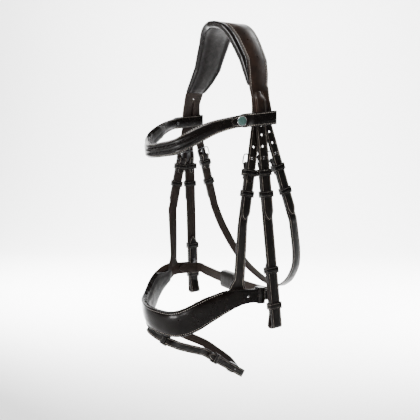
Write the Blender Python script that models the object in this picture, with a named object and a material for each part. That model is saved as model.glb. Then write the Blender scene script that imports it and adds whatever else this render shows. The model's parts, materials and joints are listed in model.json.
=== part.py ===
"""Anatomic bridle, built strap by strap at its real size, in metres.

The origin is the middle of the crown padding's underside, where the bridle rests on the
poll. X points to the horse's left, Y to its tail and Z up. Every strap is a loft along a
path, so folds, tapers and crowned pads come from the same few functions. The left side is
modelled and the right side is its mirror image, apart from the chin buckle on the left.
"""

import math
from collections import namedtuple

import bmesh
import bpy
from mathutils import Matrix, Vector

# Leather, clearances and cutters
LEATHER = 0.003
TAB_LEATHER = 0.0025
GAP = 0.0003
PAD_GAP = 0.0008
PAD_END_SHARES = (0.62, 0.45)
EDGE_BEVEL = 0.0006
OVERRUN = 0.002
STEP = LEATHER + GAP

# Crown, an arch over the poll with a padded underside
ARCH_HALF_SPAN = 0.1045
ARCH_DROP = 0.1523
CROWN_WIDTH = 0.057
CROWN_PADDING = 0.0080
CROWN_ROLL_RISE = 0.0019
CROWN_TOP = LEATHER / 2 + GAP + CROWN_PADDING
ARCH_SHARES = (
    (0.0, 0.0), (0.15, 0.013), (0.288, 0.055), (0.415, 0.14), (0.54, 0.253), (0.655, 0.37),
    (0.793, 0.515), (0.898, 0.63), (0.957, 0.72), (0.988, 0.80), (1.0, 0.87), (1.0, 1.0),
)
# Front and rear edges in shares of the crown's width, by share of the way down the arch
CROWN_EDGE_SHARES = (
    (0.0, -0.53, 0.49), (0.14, -0.45, 0.52), (0.276, -0.34, 0.54), (0.48, -0.26, 0.53),
    (0.60, -0.277, 0.414), (0.70, -0.296, 0.27), (0.80, -0.288, 0.218),
)
# Rows of the crown's loft down to the padding's end, then to the tails
CROWN_ROW_SHARES = (0.0, 0.07, 0.14, 0.21, 0.28, 0.38, 0.48, 0.54, 0.60, 0.65)
TAIL_ROW_SHARES = (0.74, 0.80, 0.88)
TAILS_WIDE_SHARE = 0.93
SLIT_START_SHARE = 0.755
SLIT_WIDE_SHARE = 0.808
SLIT_BEND_SHARE = 0.865
SLIT_START_WIDTH = 0.001
PADDING_END_SHARE = 0.70
# The stitched front roll and the rear roll show beside the leather, by share down the arch
ROLL_SHARES = ((0.0, 0.24, 0.06), (0.48, 0.24, 0.06), (0.58, 0.17, 0.06), (0.65, 0.10, 0.05),
               (0.70, 0.06, 0.04), (0.72, 0.0, 0.0))
# The padding thins towards its ends
PADDING_SHARES = ((0.55, 1.0), (0.65, 0.75), (0.70, 0.45))
CHEEK_TAIL_START_SHARE = 0.765
CHEEK_TAIL_RISE_SHARE = 0.793
CHEEK_TAIL_FREE_SHARE = 0.83
LAYER_GAP = 0.0008

# The three straps of each side: the width, the narrow neck in the buckle, the play beside the
# neck, where each leaves the browband loop, its slopes, the buckle's bar and the first hole
LOOP_EDGE_Z = CROWN_TOP - ARCH_DROP
Strap = namedtuple("Strap", "name width neck play start_y slope_out slope_back bar first_hole")
FRONT = Strap("front", 0.0148, 0.0142, 0.0022, -0.0105, 0.060, -0.169, 0.0534, -1)
CHEEK = Strap("cheek", 0.0165, 0.0094, 0.0003, -0.0051, 0.080, 0.0713, 0.0522, -2)
THROAT = Strap("throat", 0.0140, 0.0134, 0.0022, 0.0087, 0.090, 0.3057, 0.0480, -2)
HOLE_COUNT = 4
BILLET_LENGTH = 0.129
HOLE_PITCH = 0.0156
HOLE_RADIUS = 0.0019
HOLE_SIDES = 6

# Buckles, hidden behind their billets
BAR_RADIUS = 0.00125
FRAME_RADIUS = 0.0010
FRAME_HEIGHT = 0.0145
FRAME_CORNER = 0.0028
TONGUE_THICK = 0.0013
TONGUE_WIDTH = 0.0024
TONGUE_PLAY = 0.0010
TONGUE_PAST_FRAME = 0.0016
STUD_BELOW_FRAME = 0.0050
STUD_RADIUS = 0.0012
STUD_PROUD = 0.0004
SLOT_CLEAR = 0.0006
SLOT_BELOW_BAR = 0.0042
TURN_BACK = 0.0210
FOLD_MERGE = 0.0055
FOLD_RADIUS = BAR_RADIUS + GAP + LEATHER / 2
FOLD_STEPS = 4
NECK_RUN = 0.0080

# Keepers: a fixed one under each buckle and runners further down
KEEPER_WALL = 0.0014
KEEPER_HEIGHT = 0.0090
KEEPER_CHAMFER = 0.0008
KEEPER_SIDE_CLEAR = 0.0004
KEEPER_SINK = 0.0003
FIXED_KEEPER_DROP = 0.0105
RUNNER_AT = 0.0925

# Cheekpiece end: a folded billet on a hook stud, which carries the bit
BIT_FOLD_AT = 0.2812
BIT_LOOP_INSIDE = 0.0075
BIT_LOOP_HEIGHT = 0.0200
BIT_CORNER = 0.0026
BIT_BILLET_TIP_AT = 0.1830
BIT_RUNNER_AT = 0.1985
BIT_KEEPER_AT = 0.2490
HOOK_STUD_AT = 0.2225
STUD_FLANGE = 0.0008
STUD_FLANGE_RADIUS = 0.0040
BIT_PLY_STEP = LEATHER + STUD_FLANGE + 2 * GAP
HOOK_WIDTH = 0.0024
HOOK_THICK = 0.0018
HOOK_REACH = 0.0062
HOOK_PROUD = 0.0012
HOOK_SLOT_LENGTH = 0.0095

# Browband: a curved, padded band whose ends wrap the straps and snap shut
BAND_HEIGHT = 0.0190
BAND_DIP = 0.0450
BAND_DEPTH = 0.1205
BAND_PADDING = 0.0060
BAND_RIDGE = 0.0034
LOOP_CLEAR = 0.0008
LOOP_Z = -0.1323
LOOP_TILT = 0.11
LOOP_REAR_CLEAR = 0.0010
LOOP_CORNER = 0.0030
# Half of the band from the middle of the brow to the loop: shares of the half span, the
# depth and the dip, then of the band height
BAND_SHARES = (
    (0.0, 1.0, 1.0, 1.06), (0.128, 0.983, 0.99, 1.06), (0.267, 0.938, 0.945, 1.10),
    (0.405, 0.892, 0.90, 1.14), (0.529, 0.846, 0.82, 1.16), (0.623, 0.784, 0.68, 1.16),
    (0.687, 0.697, 0.53, 1.16), (0.741, 0.614, 0.40, 1.10), (0.805, 0.519, 0.275, 1.0),
    (0.885, 0.415, 0.175, 0.90), (0.954, 0.299, 0.095, 0.86),
)
BAND_PADDING_END_SHARE = 0.60
BAND_RIDGE_END = 0.84
BAND_RIDGE_FADE = 0.45
BAND_SPLIT = 0.0015
LOOP_HEIGHT_SHARE = 0.99
# The band's three raised rolls, which merge into one towards its ends: where across the
# face, in shares of the half height, then the rise of the rolls and of the single one
RIDGE_SHARES = (
    (-1.0, 0.0, 0.0), (-0.84, 0.15, 0.05), (-0.60, 0.85, 0.55), (-0.32, 0.35, 0.80),
    (0.0, 1.0, 0.85), (0.32, 0.35, 0.80), (0.60, 0.85, 0.55), (0.84, 0.15, 0.05), (1.0, 0.0, 0.0),
)
RIDGE_MERGE_SHARES = ((0.36, 0.0), (0.62, 1.0))
TAB_END_HEIGHT_SHARE = 0.80
TAB_PAST_SNAP = 0.0140
SNAP_SPACE = 0.0022
SNAP_AHEAD = 0.0130
CAP_RADIUS = 0.0069
CAP_RISE = 0.0018
CAP_SHANK_RADIUS = 0.0020
SOCKET_RADIUS = 0.0045
SOCKET_WALL = 0.0016
SNAP_FLANGE = 0.0004
FLANGE_RADIUS = 0.0027
SNAP_SIDES = 12

# Noseband: wide over the nose, narrow at its rear ends
NOSE_HALF_SPAN = 0.1110
NOSE_FRONT_Y = -0.1210
NOSE_DEPTH = 0.1220
NOSE_REAR_Z = -0.3770
NOSE_DIP = 0.0450
NOSE_HEIGHT = 0.0380
NOSE_TILT = -0.20
NOSE_PADDING = 0.0070
NOSE_CROWN = 0.0026
NOSE_WELT = 0.0011
# Half of the noseband from the middle of the nose to its rear end, as the browband's
NOSE_SHARES = (
    (0.0, 0.0, 1.0, 1.0), (0.144, 0.012, 1.0, 1.0), (0.27, 0.041, 1.0, 1.0),
    (0.384, 0.078, 0.989, 1.0), (0.49, 0.131, 0.940, 1.0), (0.576, 0.197, 0.850, 1.0),
    (0.667, 0.27, 0.690, 0.97), (0.753, 0.352, 0.490, 0.94), (0.833, 0.451, 0.290, 0.89),
    (0.902, 0.571, 0.110, 0.80), (0.951, 0.664, 0.022, 0.68), (0.989, 0.746, -0.022, 0.58),
)
# Across the face: the height, then the shares of the welt's and the padded crown's rise
NOSE_FACE_SHARES = (
    (-0.965, 0.7, 0.0), (-0.92, 1.0, 0.0), (-0.87, 0.6, 0.0), (-0.83, 0.0, 0.02),
    (-0.45, 0.0, 0.80), (0.0, 0.0, 1.0), (0.45, 0.0, 0.80), (0.83, 0.0, 0.02),
    (0.87, 0.6, 0.0), (0.92, 1.0, 0.0), (0.965, 0.7, 0.0),
)
NOSE_FLAT_SHARE = 0.60
NOSE_FULL_SHARE = 0.92
NOSE_END_HEIGHT = 0.0195
NOSE_END_LENGTH = 0.0325
NOSE_PADDING_END_Y = -0.0395
HANGER_STRAIGHT = 0.1365
STRAIGHT_TAIL = 0.006
HANGER_SEAT_Y = -0.0320
HANGER_SEAT_DEPTH = 0.004
HANGER_SEAT_SINK = 0.0030
HANGER_FLARE = 0.013

# Chin strap with its sliding pad
CHIN_SLOPE_OUT = 0.050
CHIN_SLOPE_DOWN = 0.030
CHIN_WIDTH = 0.0160
CHIN_NECK = 0.0115
CHIN_PLAY = 0.0003
CHIN_BAR = 0.0168
CHIN_KEEPER_DROP = 0.0110
CHIN_KEEPER_HEIGHT = 0.0105
CHIN_BACK_Y = 0.0175
CHIN_CORNER = 0.0075
CHIN_SAG_Z = -0.3800
CHIN_END_LAP = 0.0240
CHIN_PAD_LENGTH = 0.0480
CHIN_PAD_HEIGHT = 0.0270
CHIN_PAD_FRONT = 0.0075
CHIN_PAD_BACK = 0.0030
CHIN_SLOT_CLEAR = 0.0006

# Throatlatch: the lowest point of its curve and how it spreads
THROAT_STRAIGHT = 0.1365
THROAT_LOW_Z = -0.3938
THROAT_LOW_Y = 0.0955
# Shares of the spread, then of the run back and down from the end of the straight stretch
THROAT_SHARES = ((0.947, 0.193, 0.230), (0.886, 0.357, 0.395), (0.792, 0.522, 0.568),
                 (0.671, 0.639, 0.7005), (0.516, 0.762, 0.822), (0.344, 0.880, 0.913),
                 (0.172, 0.970, 0.978))

# Flash strap: a closed loop of narrow strap, hung from a leather loop under the noseband
FLASH_WIDTH = 0.0125
FLASH_LEAD = (0.0, -0.5, -0.866)
FLASH_HANG_BACK = 0.0175
FLASH_HANG_DROP = 0.0165
FLASH_RING_LENGTH = 0.0140
FLASH_BACK = 0.1520
FLASH_DROP = 0.0905
# The near run starts at the rear end: its direction, buckle bar, keeper and billet tip
FLASH_ALONG = (0.078, -0.834, 0.551)
FLASH_NECK = 0.0100
FLASH_PLAY = 0.0008
FLASH_BAR = 0.0260
FLASH_TURN_BACK = 0.0160
FLASH_KEEPER_AT = 0.0600
FLASH_TIP_AT = 0.0760
FLASH_STRAIGHT = 0.0790
# The run from the keeper through the hung loop and back on the far side, as shares of the
# strap's length back from the hung loop, of its drop, and of the bulge to the side
FLASH_BULGE = 0.0460
FLASH_NEAR_SHARES = ((0.40, 0.316, 0.13), (0.17, 0.153, 0.21), (0.045, 0.034, 0.315),
                     (0.013, 0.009, 0.276))
FLASH_FAR_SHARES = (
    (-0.02, -0.02, -0.42), (-0.055, -0.09, -0.78), (-0.035, -0.14, -0.97),
    (0.06, -0.14, -0.98), (0.20, -0.05, -0.80), (0.37, 0.106, -0.56), (0.568, 0.29, -0.41),
    (0.725, 0.505, -0.31), (0.871, 0.726, -0.24),
)

# Colours, roughness and metallic values of the finishes
FINISHES = {
    "leather": ((0.030, 0.022, 0.019), 0.38, 0.0),
    "crown": ((0.060, 0.040, 0.031), 0.45, 0.0),
    "padding": ((0.085, 0.078, 0.078), 0.70, 0.0),
    "steel": ((0.62, 0.62, 0.63), 0.22, 1.0),
    "enamel": ((0.10, 0.25, 0.24), 0.30, 0.3),
}

Frame = namedtuple("Frame", "origin along across out")


def at(frame, across, out):
    """A point beside a frame's origin, by its distances along the width and outwards."""
    return frame.origin + frame.across * across + frame.out * out


def square_to(lead, along):
    return (lead - along * lead.dot(along)).normalized()


class Path:
    """A polyline with a width direction, read by the distance along it."""

    def __init__(self, points, lead, later_leads=()):
        """The lead sets the width's direction. Later ones take over at shares of the length."""
        self.points = [Vector(point) for point in points]
        self.leads = [(0.0, Vector(lead))]
        self.leads += [(share, Vector(later)) for share, later in later_leads]
        self.marks = [0.0]
        for first, second in zip(self.points, self.points[1:]):
            self.marks.append(self.marks[-1] + (second - first).length)
        self.length = self.marks[-1]

    def direction(self, index):
        before = self.points[max(index - 1, 0)]
        after = self.points[min(index + 1, len(self.points) - 1)]
        middle = self.points[index]
        total = Vector()
        for step in (middle - before, after - middle):
            if step.length > 0:
                total += step.normalized()
        return total.normalized()

    def frame(self, distance):
        last = len(self.marks) - 2
        index = 0
        while index < last and self.marks[index + 1] < distance:
            index += 1
        span = self.marks[index + 1] - self.marks[index]
        share = (distance - self.marks[index]) / span
        origin = self.points[index].lerp(self.points[index + 1], share)
        blend = min(max(share, 0.0), 1.0)
        along = self.direction(index).lerp(self.direction(index + 1), blend).normalized()
        across = square_to(self.lead_at(distance / self.length), along)
        return Frame(origin, along, across, along.cross(across))

    def lead_at(self, share):
        for (start, lead), (end, following) in zip(self.leads, self.leads[1:]):
            if share < end:
                return lead.lerp(following, max((share - start) / (end - start), 0.0))
        return self.leads[-1][1]

    def distance_at_y(self, y):
        """The distance along the left half where the path reaches a given Y."""
        start = len(self.points) // 2
        for index in range(start, len(self.points) - 1):
            low = self.points[index].y
            high = self.points[index + 1].y
            if high >= y:
                share = (y - low) / (high - low)
                return self.marks[index] + (self.marks[index + 1] - self.marks[index]) * share
        return self.length


class Line:
    """A straight strap run: its start, the way along it, its width and its outer side."""

    def __init__(self, start, along, lead):
        self.start = Vector(start)
        self.along = Vector(along).normalized()
        self.across = square_to(Vector(lead), self.along)
        self.out = self.along.cross(self.across)

    def point(self, distance, across=0.0, out=0.0):
        offset = self.along * distance + self.across * across + self.out * out
        return self.start + offset

    def frame(self, distance, out=0.0):
        return Frame(self.point(distance, 0.0, out), self.along, self.across, self.out)

    def path(self, pairs):
        """A path in the plane of the run, from pairs of distance and outward offset."""
        return Path([self.point(distance, 0.0, out) for distance, out in pairs], self.across)


def smooth(points, steps=5):
    """A Catmull-Rom curve through the points."""
    points = [Vector(point) for point in points]
    ends = [points[0] * 2 - points[1]] + points + [points[-1] * 2 - points[-2]]
    curve = []
    for before, start, end, after in zip(ends, ends[1:], ends[2:], ends[3:]):
        for step in range(steps):
            t = step / steps
            curve.append((start * 2 + (end - before) * t
                          + (before * 2 - start * 5 + end * 4 - after) * t ** 2
                          + (start * 3 - before - end * 3 + after) * t ** 3) / 2)
    curve.append(points[-1])
    return curve


def read_table(table, key, column):
    """A value between the rows of a table, whose first column rises."""
    if key <= table[0][0]:
        return table[0][column]
    for low, high in zip(table, table[1:]):
        if key <= high[0]:
            share = (key - low[0]) / (high[0] - low[0])
            return low[column] + (high[column] - low[column]) * share
    return table[-1][column]


def arc(radius, start, end, steps):
    """Points of an arc about zero, as pairs, by angles in degrees."""
    angles = [math.radians(start + (end - start) * step / steps) for step in range(steps + 1)]
    return [(radius * math.cos(angle), radius * math.sin(angle)) for angle in angles]


def build(name, bm, finish):
    """Put a bmesh into the scene as an object with a material of its own."""
    bmesh.ops.recalc_face_normals(bm, faces=bm.faces[:])
    if bm.calc_volume(signed=True) < 0:
        bmesh.ops.reverse_faces(bm, faces=bm.faces[:])
    mesh = bpy.data.meshes.new(name)
    bm.to_mesh(mesh)
    bm.free()
    obj = bpy.data.objects.new(name, mesh)
    bpy.context.scene.collection.objects.link(obj)
    paint(obj, finish)
    return obj


def paint(obj, finish):
    colour, roughness, metallic = FINISHES[finish]
    material = bpy.data.materials.new(obj.name + "_" + finish)
    material.use_nodes = True
    shader = material.node_tree.nodes["Principled BSDF"]
    shader.inputs["Base Color"].default_value = (*colour, 1.0)
    shader.inputs["Roughness"].default_value = roughness
    shader.inputs["Metallic"].default_value = metallic
    obj.data.materials.clear()
    obj.data.materials.append(material)


def loft(sections, closed=False):
    """Join rings of points into a skin, with flat ends unless the rings run in a circle."""
    bm = bmesh.new()
    rings = [[bm.verts.new(point) for point in section] for section in sections]
    pairs = list(zip(rings, rings[1:]))
    if closed:
        pairs.append((rings[-1], rings[0]))
    for ring, following in pairs:
        for index, vert in enumerate(ring):
            after = (index + 1) % len(ring)
            bm.faces.new((vert, ring[after], following[after], following[index]))
    if not closed:
        bm.faces.new(list(reversed(rings[0])))
        bm.faces.new(rings[-1])
    return bm


def strap_section(frame, low, high, back, face, bevel=EDGE_BEVEL):
    """A strap's cross-section with its four edges bevelled."""
    outline = (
        (low, back + bevel), (low, face - bevel), (low + bevel, face), (high - bevel, face),
        (high, face - bevel), (high, back + bevel), (high - bevel, back), (low + bevel, back),
    )
    return [at(frame, across, out) for across, out in outline]


def strap(path, rows, thickness=LEATHER):
    """A strap along a path. Each row gives a distance and the strap's two edges there."""
    sections = []
    for distance, low, high in rows:
        frame = path.frame(distance)
        sections.append(strap_section(frame, low, high, -thickness / 2, thickness / 2))
    return loft(sections)


def even(marks, width):
    """Rows of a strap from distances and shares of its width."""
    return [(distance, -width * share / 2, width * share / 2) for distance, share in marks]


def tip_marks(end, width):
    """Marks of a pointed strap end."""
    shape_shares = ((0.80, 1.0), (0.42, 0.80), (0.14, 0.42), (0.0, 0.16))
    return [(end - width * back, share) for back, share in shape_shares]


def disc(frame, low, high, radius, sides, top_radius=None):
    """A round plate square to a frame's outward side."""
    sections = []
    for height, size in ((low, radius), (high, top_radius or radius)):
        points = arc(size, 0, 360, sides)[:-1]
        offset = frame.out * height
        sections.append([frame.origin + offset + frame.along * x + frame.across * y
                         for x, y in points])
    return loft(sections)


def line_box(line, distances, across, out):
    """A rectangular block in a run's own directions."""
    sections = []
    for distance in distances:
        sections.append([line.point(distance, u, n) for u, n in (
            (across[0], out[0]), (across[1], out[0]), (across[1], out[1]), (across[0], out[1]))])
    return loft(sections)


def combine(obj, bm, operation):
    """Cut a solid out of an object, or join it on, with an exact Boolean."""
    other = build("cutter", bm, "leather")
    modifier = obj.modifiers.new("boolean", "BOOLEAN")
    modifier.operation = operation
    modifier.solver = "EXACT"
    modifier.object = other
    graph = bpy.context.evaluated_depsgraph_get()
    graph.update()
    result = bpy.data.meshes.new_from_object(obj.evaluated_get(graph))
    result.name = obj.name
    obj.modifiers.clear()
    material = obj.data.materials[0]
    obj.data = result
    obj.data.materials.clear()
    obj.data.materials.append(material)
    bpy.data.objects.remove(other)


def cut(obj, bm):
    combine(obj, bm, "DIFFERENCE")


def join(obj, bm):
    combine(obj, bm, "UNION")


def mirrored(obj, name, finish):
    """The right-hand twin of a left-hand piece."""
    bm = bmesh.new()
    bm.from_mesh(obj.data)
    bm.transform(Matrix.Scale(-1.0, 4, (1.0, 0.0, 0.0)))
    return build(name, bm, finish)


def pivot(name, place, parent=None):
    """An empty on a joint's axis, which carries the pieces of one moving body."""
    empty = bpy.data.objects.new(name, None)
    bpy.context.scene.collection.objects.link(empty)
    empty.location = place
    if parent is not None:
        empty.parent = parent
        empty.matrix_parent_inverse = Matrix.Translation(-world_place(parent))
    return empty


def world_place(obj):
    place = Vector(obj.location)
    while obj.parent is not None:
        place = place + obj.matrix_parent_inverse.translation
        obj = obj.parent
        place = place + Vector(obj.location)
    return place


def carry(empty, *pieces):
    for piece in pieces:
        piece.parent = empty
        piece.matrix_parent_inverse = Matrix.Translation(-world_place(empty))


def set_origin(obj, place):
    """Move an object's origin to a point of its joint's axis, with its shape left there."""
    obj.data.transform(Matrix.Translation(-Vector(place)))
    obj.location = place


def flip(place):
    return Vector((-place[0], place[1], place[2]))


def side_name(name, side):
    return name + ("_left" if side > 0 else "_right")


# The runs of the three straps on the left, on the middle of the billets
def strap_line(spec, layer):
    start = (ARCH_HALF_SPAN + layer, spec.start_y, LOOP_EDGE_Z)
    return Line(start, (spec.slope_out, spec.slope_back, -1.0), (0.0, 1.0, 0.0))


LINES = {
    "front": strap_line(FRONT, 0.0),
    "cheek": strap_line(CHEEK, LEATHER + LAYER_GAP),
    "throat": strap_line(THROAT, 0.0),
}
SPECS = {"front": FRONT, "cheek": CHEEK, "throat": THROAT}


# Crown
def arch_path():
    half = [Vector((ARCH_HALF_SPAN * x, 0.0, CROWN_TOP - ARCH_DROP * z)) for x, z in ARCH_SHARES]
    points = [flip(point) for point in reversed(half[1:])] + half
    return Path(smooth(points, 4), (0.0, 1.0, 0.0))


ARCH = arch_path()
ARCH_HALF = ARCH.length / 2
TAIL_END = ARCH_HALF - FRONT.width / 2 - GAP


def crown_edges(share):
    """The crown's front and rear edges at a share of the way down the arch."""
    front = CROWN_WIDTH * read_table(CROWN_EDGE_SHARES, share, 1)
    rear = CROWN_WIDTH * read_table(CROWN_EDGE_SHARES, share, 2)
    last = CROWN_EDGE_SHARES[-1][0]
    blend = min(max((share - last) / (TAILS_WIDE_SHARE - last), 0.0), 1.0)
    front += (FRONT.start_y - FRONT.width / 2 - front) * blend
    rear += (THROAT.start_y + THROAT.width / 2 - rear) * blend
    return front, rear


def leather_edges(share):
    front, rear = crown_edges(share)
    width = rear - front
    front += width * read_table(ROLL_SHARES, share, 1)
    return front, rear - width * read_table(ROLL_SHARES, share, 2)


def crown_leather():
    shares = (*CROWN_ROW_SHARES, PADDING_END_SHARE, *TAIL_ROW_SHARES, TAIL_END / ARCH_HALF)
    sections = []
    for share in [-value for value in reversed(shares[1:])] + list(shares):
        low, high = leather_edges(abs(share))
        frame = ARCH.frame(ARCH_HALF * (1 + share))
        sections.append(strap_section(frame, low, high, -LEATHER / 2, LEATHER / 2))
    obj = build("crown_leather", loft(sections), "crown")
    for side in (-1, 1):
        cut(obj, crown_slit(side))
        join(obj, cheek_tail(side))
    return obj


def crown_slit(side):
    """The slit that parts the front strap from the rear one."""
    low = FRONT.start_y + FRONT.width / 2
    high = THROAT.start_y - THROAT.width / 2
    middle = (low + high) / 2
    start = SLIT_START_WIDTH / 2
    rows = (
        (ARCH_HALF * SLIT_START_SHARE, middle - start, middle + start),
        (ARCH_HALF * SLIT_WIDE_SHARE, low, high),
        (ARCH_HALF * SLIT_BEND_SHARE, low, high),
        (TAIL_END + OVERRUN, low, high),
    )
    sections = []
    for distance, near, far in rows:
        frame = ARCH.frame(ARCH_HALF + side * distance)
        out = LEATHER / 2 + OVERRUN
        sections.append([at(frame, u, n) for u, n in (
            (near, -out), (far, -out), (far, out), (near, out))])
    return loft(sections)


def cheek_tail(side):
    """The middle strap of one side, which lies over the other two."""
    sunk = -LEATHER * 0.2
    free = LEATHER / 2 + LAYER_GAP
    rows = (
        (CHEEK_TAIL_START_SHARE, 0.72, sunk, LEATHER * 0.95),
        (CHEEK_TAIL_RISE_SHARE, 0.90, sunk, LEATHER * 1.5),
        (CHEEK_TAIL_FREE_SHARE, 1.0, free, LEATHER),
        (0.875, 1.0, free, LEATHER),
        (0.94, 1.0, free, LEATHER),
        ((ARCH_HALF - GAP) / ARCH_HALF, 1.0, free, LEATHER),
    )
    sections = []
    for share, width_share, back, thickness in rows:
        half = CHEEK.width * width_share / 2
        frame = ARCH.frame(ARCH_HALF * (1 + side * share))
        middle = CHEEK.start_y
        bevel = min(EDGE_BEVEL, thickness / 3)
        sections.append(strap_section(
            frame, middle - half, middle + half, back, back + thickness, bevel))
    return loft(sections)


def crown_padding():
    """The soft underside, with a thick roll in front of the leather and a thin one behind."""
    top = -LEATHER / 2 - GAP
    shares = (*CROWN_ROW_SHARES, PADDING_END_SHARE)
    sections = []
    for share in [-value for value in reversed(shares[1:])] + list(shares):
        low, high = crown_edges(abs(share))
        leather_low, leather_high = leather_edges(abs(share))
        width = high - low
        inner_low = leather_low - 2 * GAP
        inner_high = leather_high + 2 * GAP
        roll = inner_low - low
        taper = read_table(PADDING_SHARES, abs(share), 1)
        depth = CROWN_PADDING * taper
        rise = CROWN_ROLL_RISE * taper
        outline = (
            (low + width * 0.10, top - depth * 0.86), (low + width * 0.025, top - depth * 0.5),
            (low, top), (low + roll * 0.10, rise * 0.75), (low + roll * 0.50, rise),
            (inner_low - roll * 0.09, rise * 0.8), (inner_low, top / 2), (inner_low, top),
            (inner_high, top), (inner_high, top / 2), ((inner_high + high) / 2, 0.0),
            (high, top - depth * 0.2), (high - width * 0.03, top - depth * 0.7),
            (high - width * 0.12, top - depth), ((low + high) / 2, top - depth * 0.86),
            (low + width * 0.24, top - depth),
        )
        frame = ARCH.frame(ARCH_HALF * (1 + share))
        sections.append([at(frame, u, n) for u, n in outline])
    return build("crown_padding", loft(sections), "padding")


# Billets, buckles and keepers of one strap run
def stud_place(spec):
    return spec.bar - FRAME_HEIGHT + STUD_BELOW_FRAME


def hole_cutter(line, distance, radius=HOLE_RADIUS, thickness=LEATHER):
    out = thickness / 2 + OVERRUN
    return disc(line.frame(distance), -out, out, radius, HOLE_SIDES)


def billet(name, spec):
    """A strap end that hangs from the crown, with a round head where it turns in the loop."""
    line = LINES[spec.name]
    radius = spec.width / 2
    if spec.name == "cheek":
        marks = [(GAP + radius * spec.slope_back, 1.0)]
    else:
        marks = [(-radius * math.cos(math.radians(angle)), math.sin(math.radians(angle)))
                 for angle in (12, 32, 52, 72, 90)]
    marks += tip_marks(BILLET_LENGTH, spec.width)
    path = line.path(((-spec.width, 0.0), (BILLET_LENGTH, 0.0)))
    shifted = [(distance + spec.width, share) for distance, share in marks]
    obj = build(name, strap(path, even(shifted, spec.width)), "leather")
    for number in range(spec.first_hole, spec.first_hole + HOLE_COUNT):
        cut(obj, hole_cutter(line, stud_place(spec) + number * HOLE_PITCH))
    return obj


def fold_pairs(bar, turn_back=TURN_BACK):
    """The strap's end, turned back over the buckle's bar, as distances and outward offsets."""
    middle = -STEP - FOLD_RADIUS
    pairs = [(bar + turn_back, -2 * STEP), (bar + FOLD_MERGE, -2 * STEP)]
    for out, up in arc(FOLD_RADIUS, 180, 0, FOLD_STEPS):
        pairs.append((bar - up, middle + out))
    return pairs


def fold_rows(path, width, neck):
    """Rows of the turned-back end and the fold, then the widening to the full strap."""
    rows = [(0.0, -neck * 0.3, neck * 0.3), (neck * 0.2, -neck / 2, neck / 2)]
    rows += [(mark, -neck / 2, neck / 2) for mark in path.marks[1:FOLD_STEPS + 3]]
    rows.append((path.marks[FOLD_STEPS + 2] + NECK_RUN, -width / 2, width / 2))
    return rows


def tongue_slot(line, bar):
    """The cut in the fold that lets the tongue out."""
    half = TONGUE_WIDTH / 2 + SLOT_CLEAR
    middle = -STEP - FOLD_RADIUS
    reach = FOLD_RADIUS + LEATHER / 2 + GAP
    return line_box(line, (bar - reach, bar + SLOT_BELOW_BAR), (-half, half),
                    (middle - reach, -STEP + LEATHER / 2 + GAP))


def frame_top(bar):
    """Where the frame's far edge lies: its distance and its outward offset."""
    billet_back = -LEATHER / 2
    arm = billet_back - TONGUE_PLAY - TONGUE_THICK / 2
    return bar - FRAME_HEIGHT, arm - TONGUE_THICK / 2 - GAP - FRAME_RADIUS


def buckle_frame(name, line, bar, neck, play):
    """A wire frame with rounded corners, whose lower side is the bar in the strap's fold."""
    far, far_out = frame_top(bar)
    near_out = -STEP - FOLD_RADIUS
    half = neck / 2 + play + FRAME_RADIUS
    corner = FRAME_CORNER
    outline = []
    for sign_u, sign_d, start in ((1, 1, 0), (-1, 1, 90), (-1, -1, 180), (1, -1, 270)):
        for x, y in arc(corner, start, start + 90, 2):
            outline.append((sign_u * (half - corner) + x,
                            sign_d * (FRAME_HEIGHT / 2 - corner) + y))
    points = []
    for across, down in outline:
        distance = bar - FRAME_HEIGHT / 2 + down
        share = (bar - distance) / FRAME_HEIGHT
        points.append(line.point(distance, across, near_out + (far_out - near_out) * share))
    normal = (points[3] - points[0]).cross(points[6] - points[3]).normalized()
    sections = []
    for index, point in enumerate(points):
        step = (points[(index + 1) % len(points)] - points[index - 1]).normalized()
        side = step.cross(normal)
        sections.append([point + side * x + normal * y
                         for x, y in arc(FRAME_RADIUS, 0, 360, 6)[:-1]])
    return build(name, loft(sections, closed=True), "steel")


def tongue(name, line, bar):
    """A tongue curled round the bar, with a stud that stands through the billet's hole."""
    far, far_out = frame_top(bar)
    middle = -STEP - FOLD_RADIUS
    arm_out = far_out + FRAME_RADIUS + GAP + TONGUE_THICK / 2
    curl = BAR_RADIUS + GAP + TONGUE_THICK / 2
    pairs = [(bar - up, middle + out) for out, up in arc(curl, -215, 0, 6)]
    end = (far - TONGUE_PAST_FRAME, arm_out)
    pairs.append(end)
    path = line.path(pairs)
    marks = [(mark, 1.0) for mark in path.marks[:-1]] + [(path.length, 0.8)]
    sections = []
    for mark, share in marks:
        half = TONGUE_WIDTH * share / 2
        frame = path.frame(mark)
        thick = TONGUE_THICK / 2
        sections.append([at(frame, u, n) for u, n in (
            (-half, -thick), (half, -thick), (half, thick), (-half, thick))])
    obj = build(name, loft(sections), "steel")
    top = LEATHER / 2 + STUD_PROUD
    join(obj, disc(line.frame(far + STUD_BELOW_FRAME), arm_out, top, STUD_RADIUS, HOLE_SIDES))
    set_origin(obj, line.point(bar, 0.0, middle))
    return obj


def keeper_mesh(line, distance, width, low, high, height=KEEPER_HEIGHT):
    """A leather loop round a strap's plies, which lie between two outward offsets."""
    side = width / 2 + KEEPER_SIDE_CLEAR
    wall = KEEPER_WALL
    sections = []
    for shift, grown, bevel in ((-height / 2, wall, KEEPER_CHAMFER),
                                (height / 2, wall, KEEPER_CHAMFER),
                                (height / 2, 0.0, GAP), (-height / 2, 0.0, GAP)):
        frame = line.frame(distance + shift)
        sections.append(strap_section(
            frame, -side - grown, side + grown, low - grown, high + grown, bevel))
    return loft(sections, closed=True)


def ply_keeper(name, line, distance, width, plies, height=KEEPER_HEIGHT):
    """A keeper round the billet and the strap plies under it, with its origin inside it."""
    low = -LEATHER / 2 - STEP * plies - GAP
    bm = keeper_mesh(line, distance, width, low, LEATHER / 2 + GAP, height)
    obj = build(name, bm, "leather")
    set_origin(obj, line.point(distance))
    return obj


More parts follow.
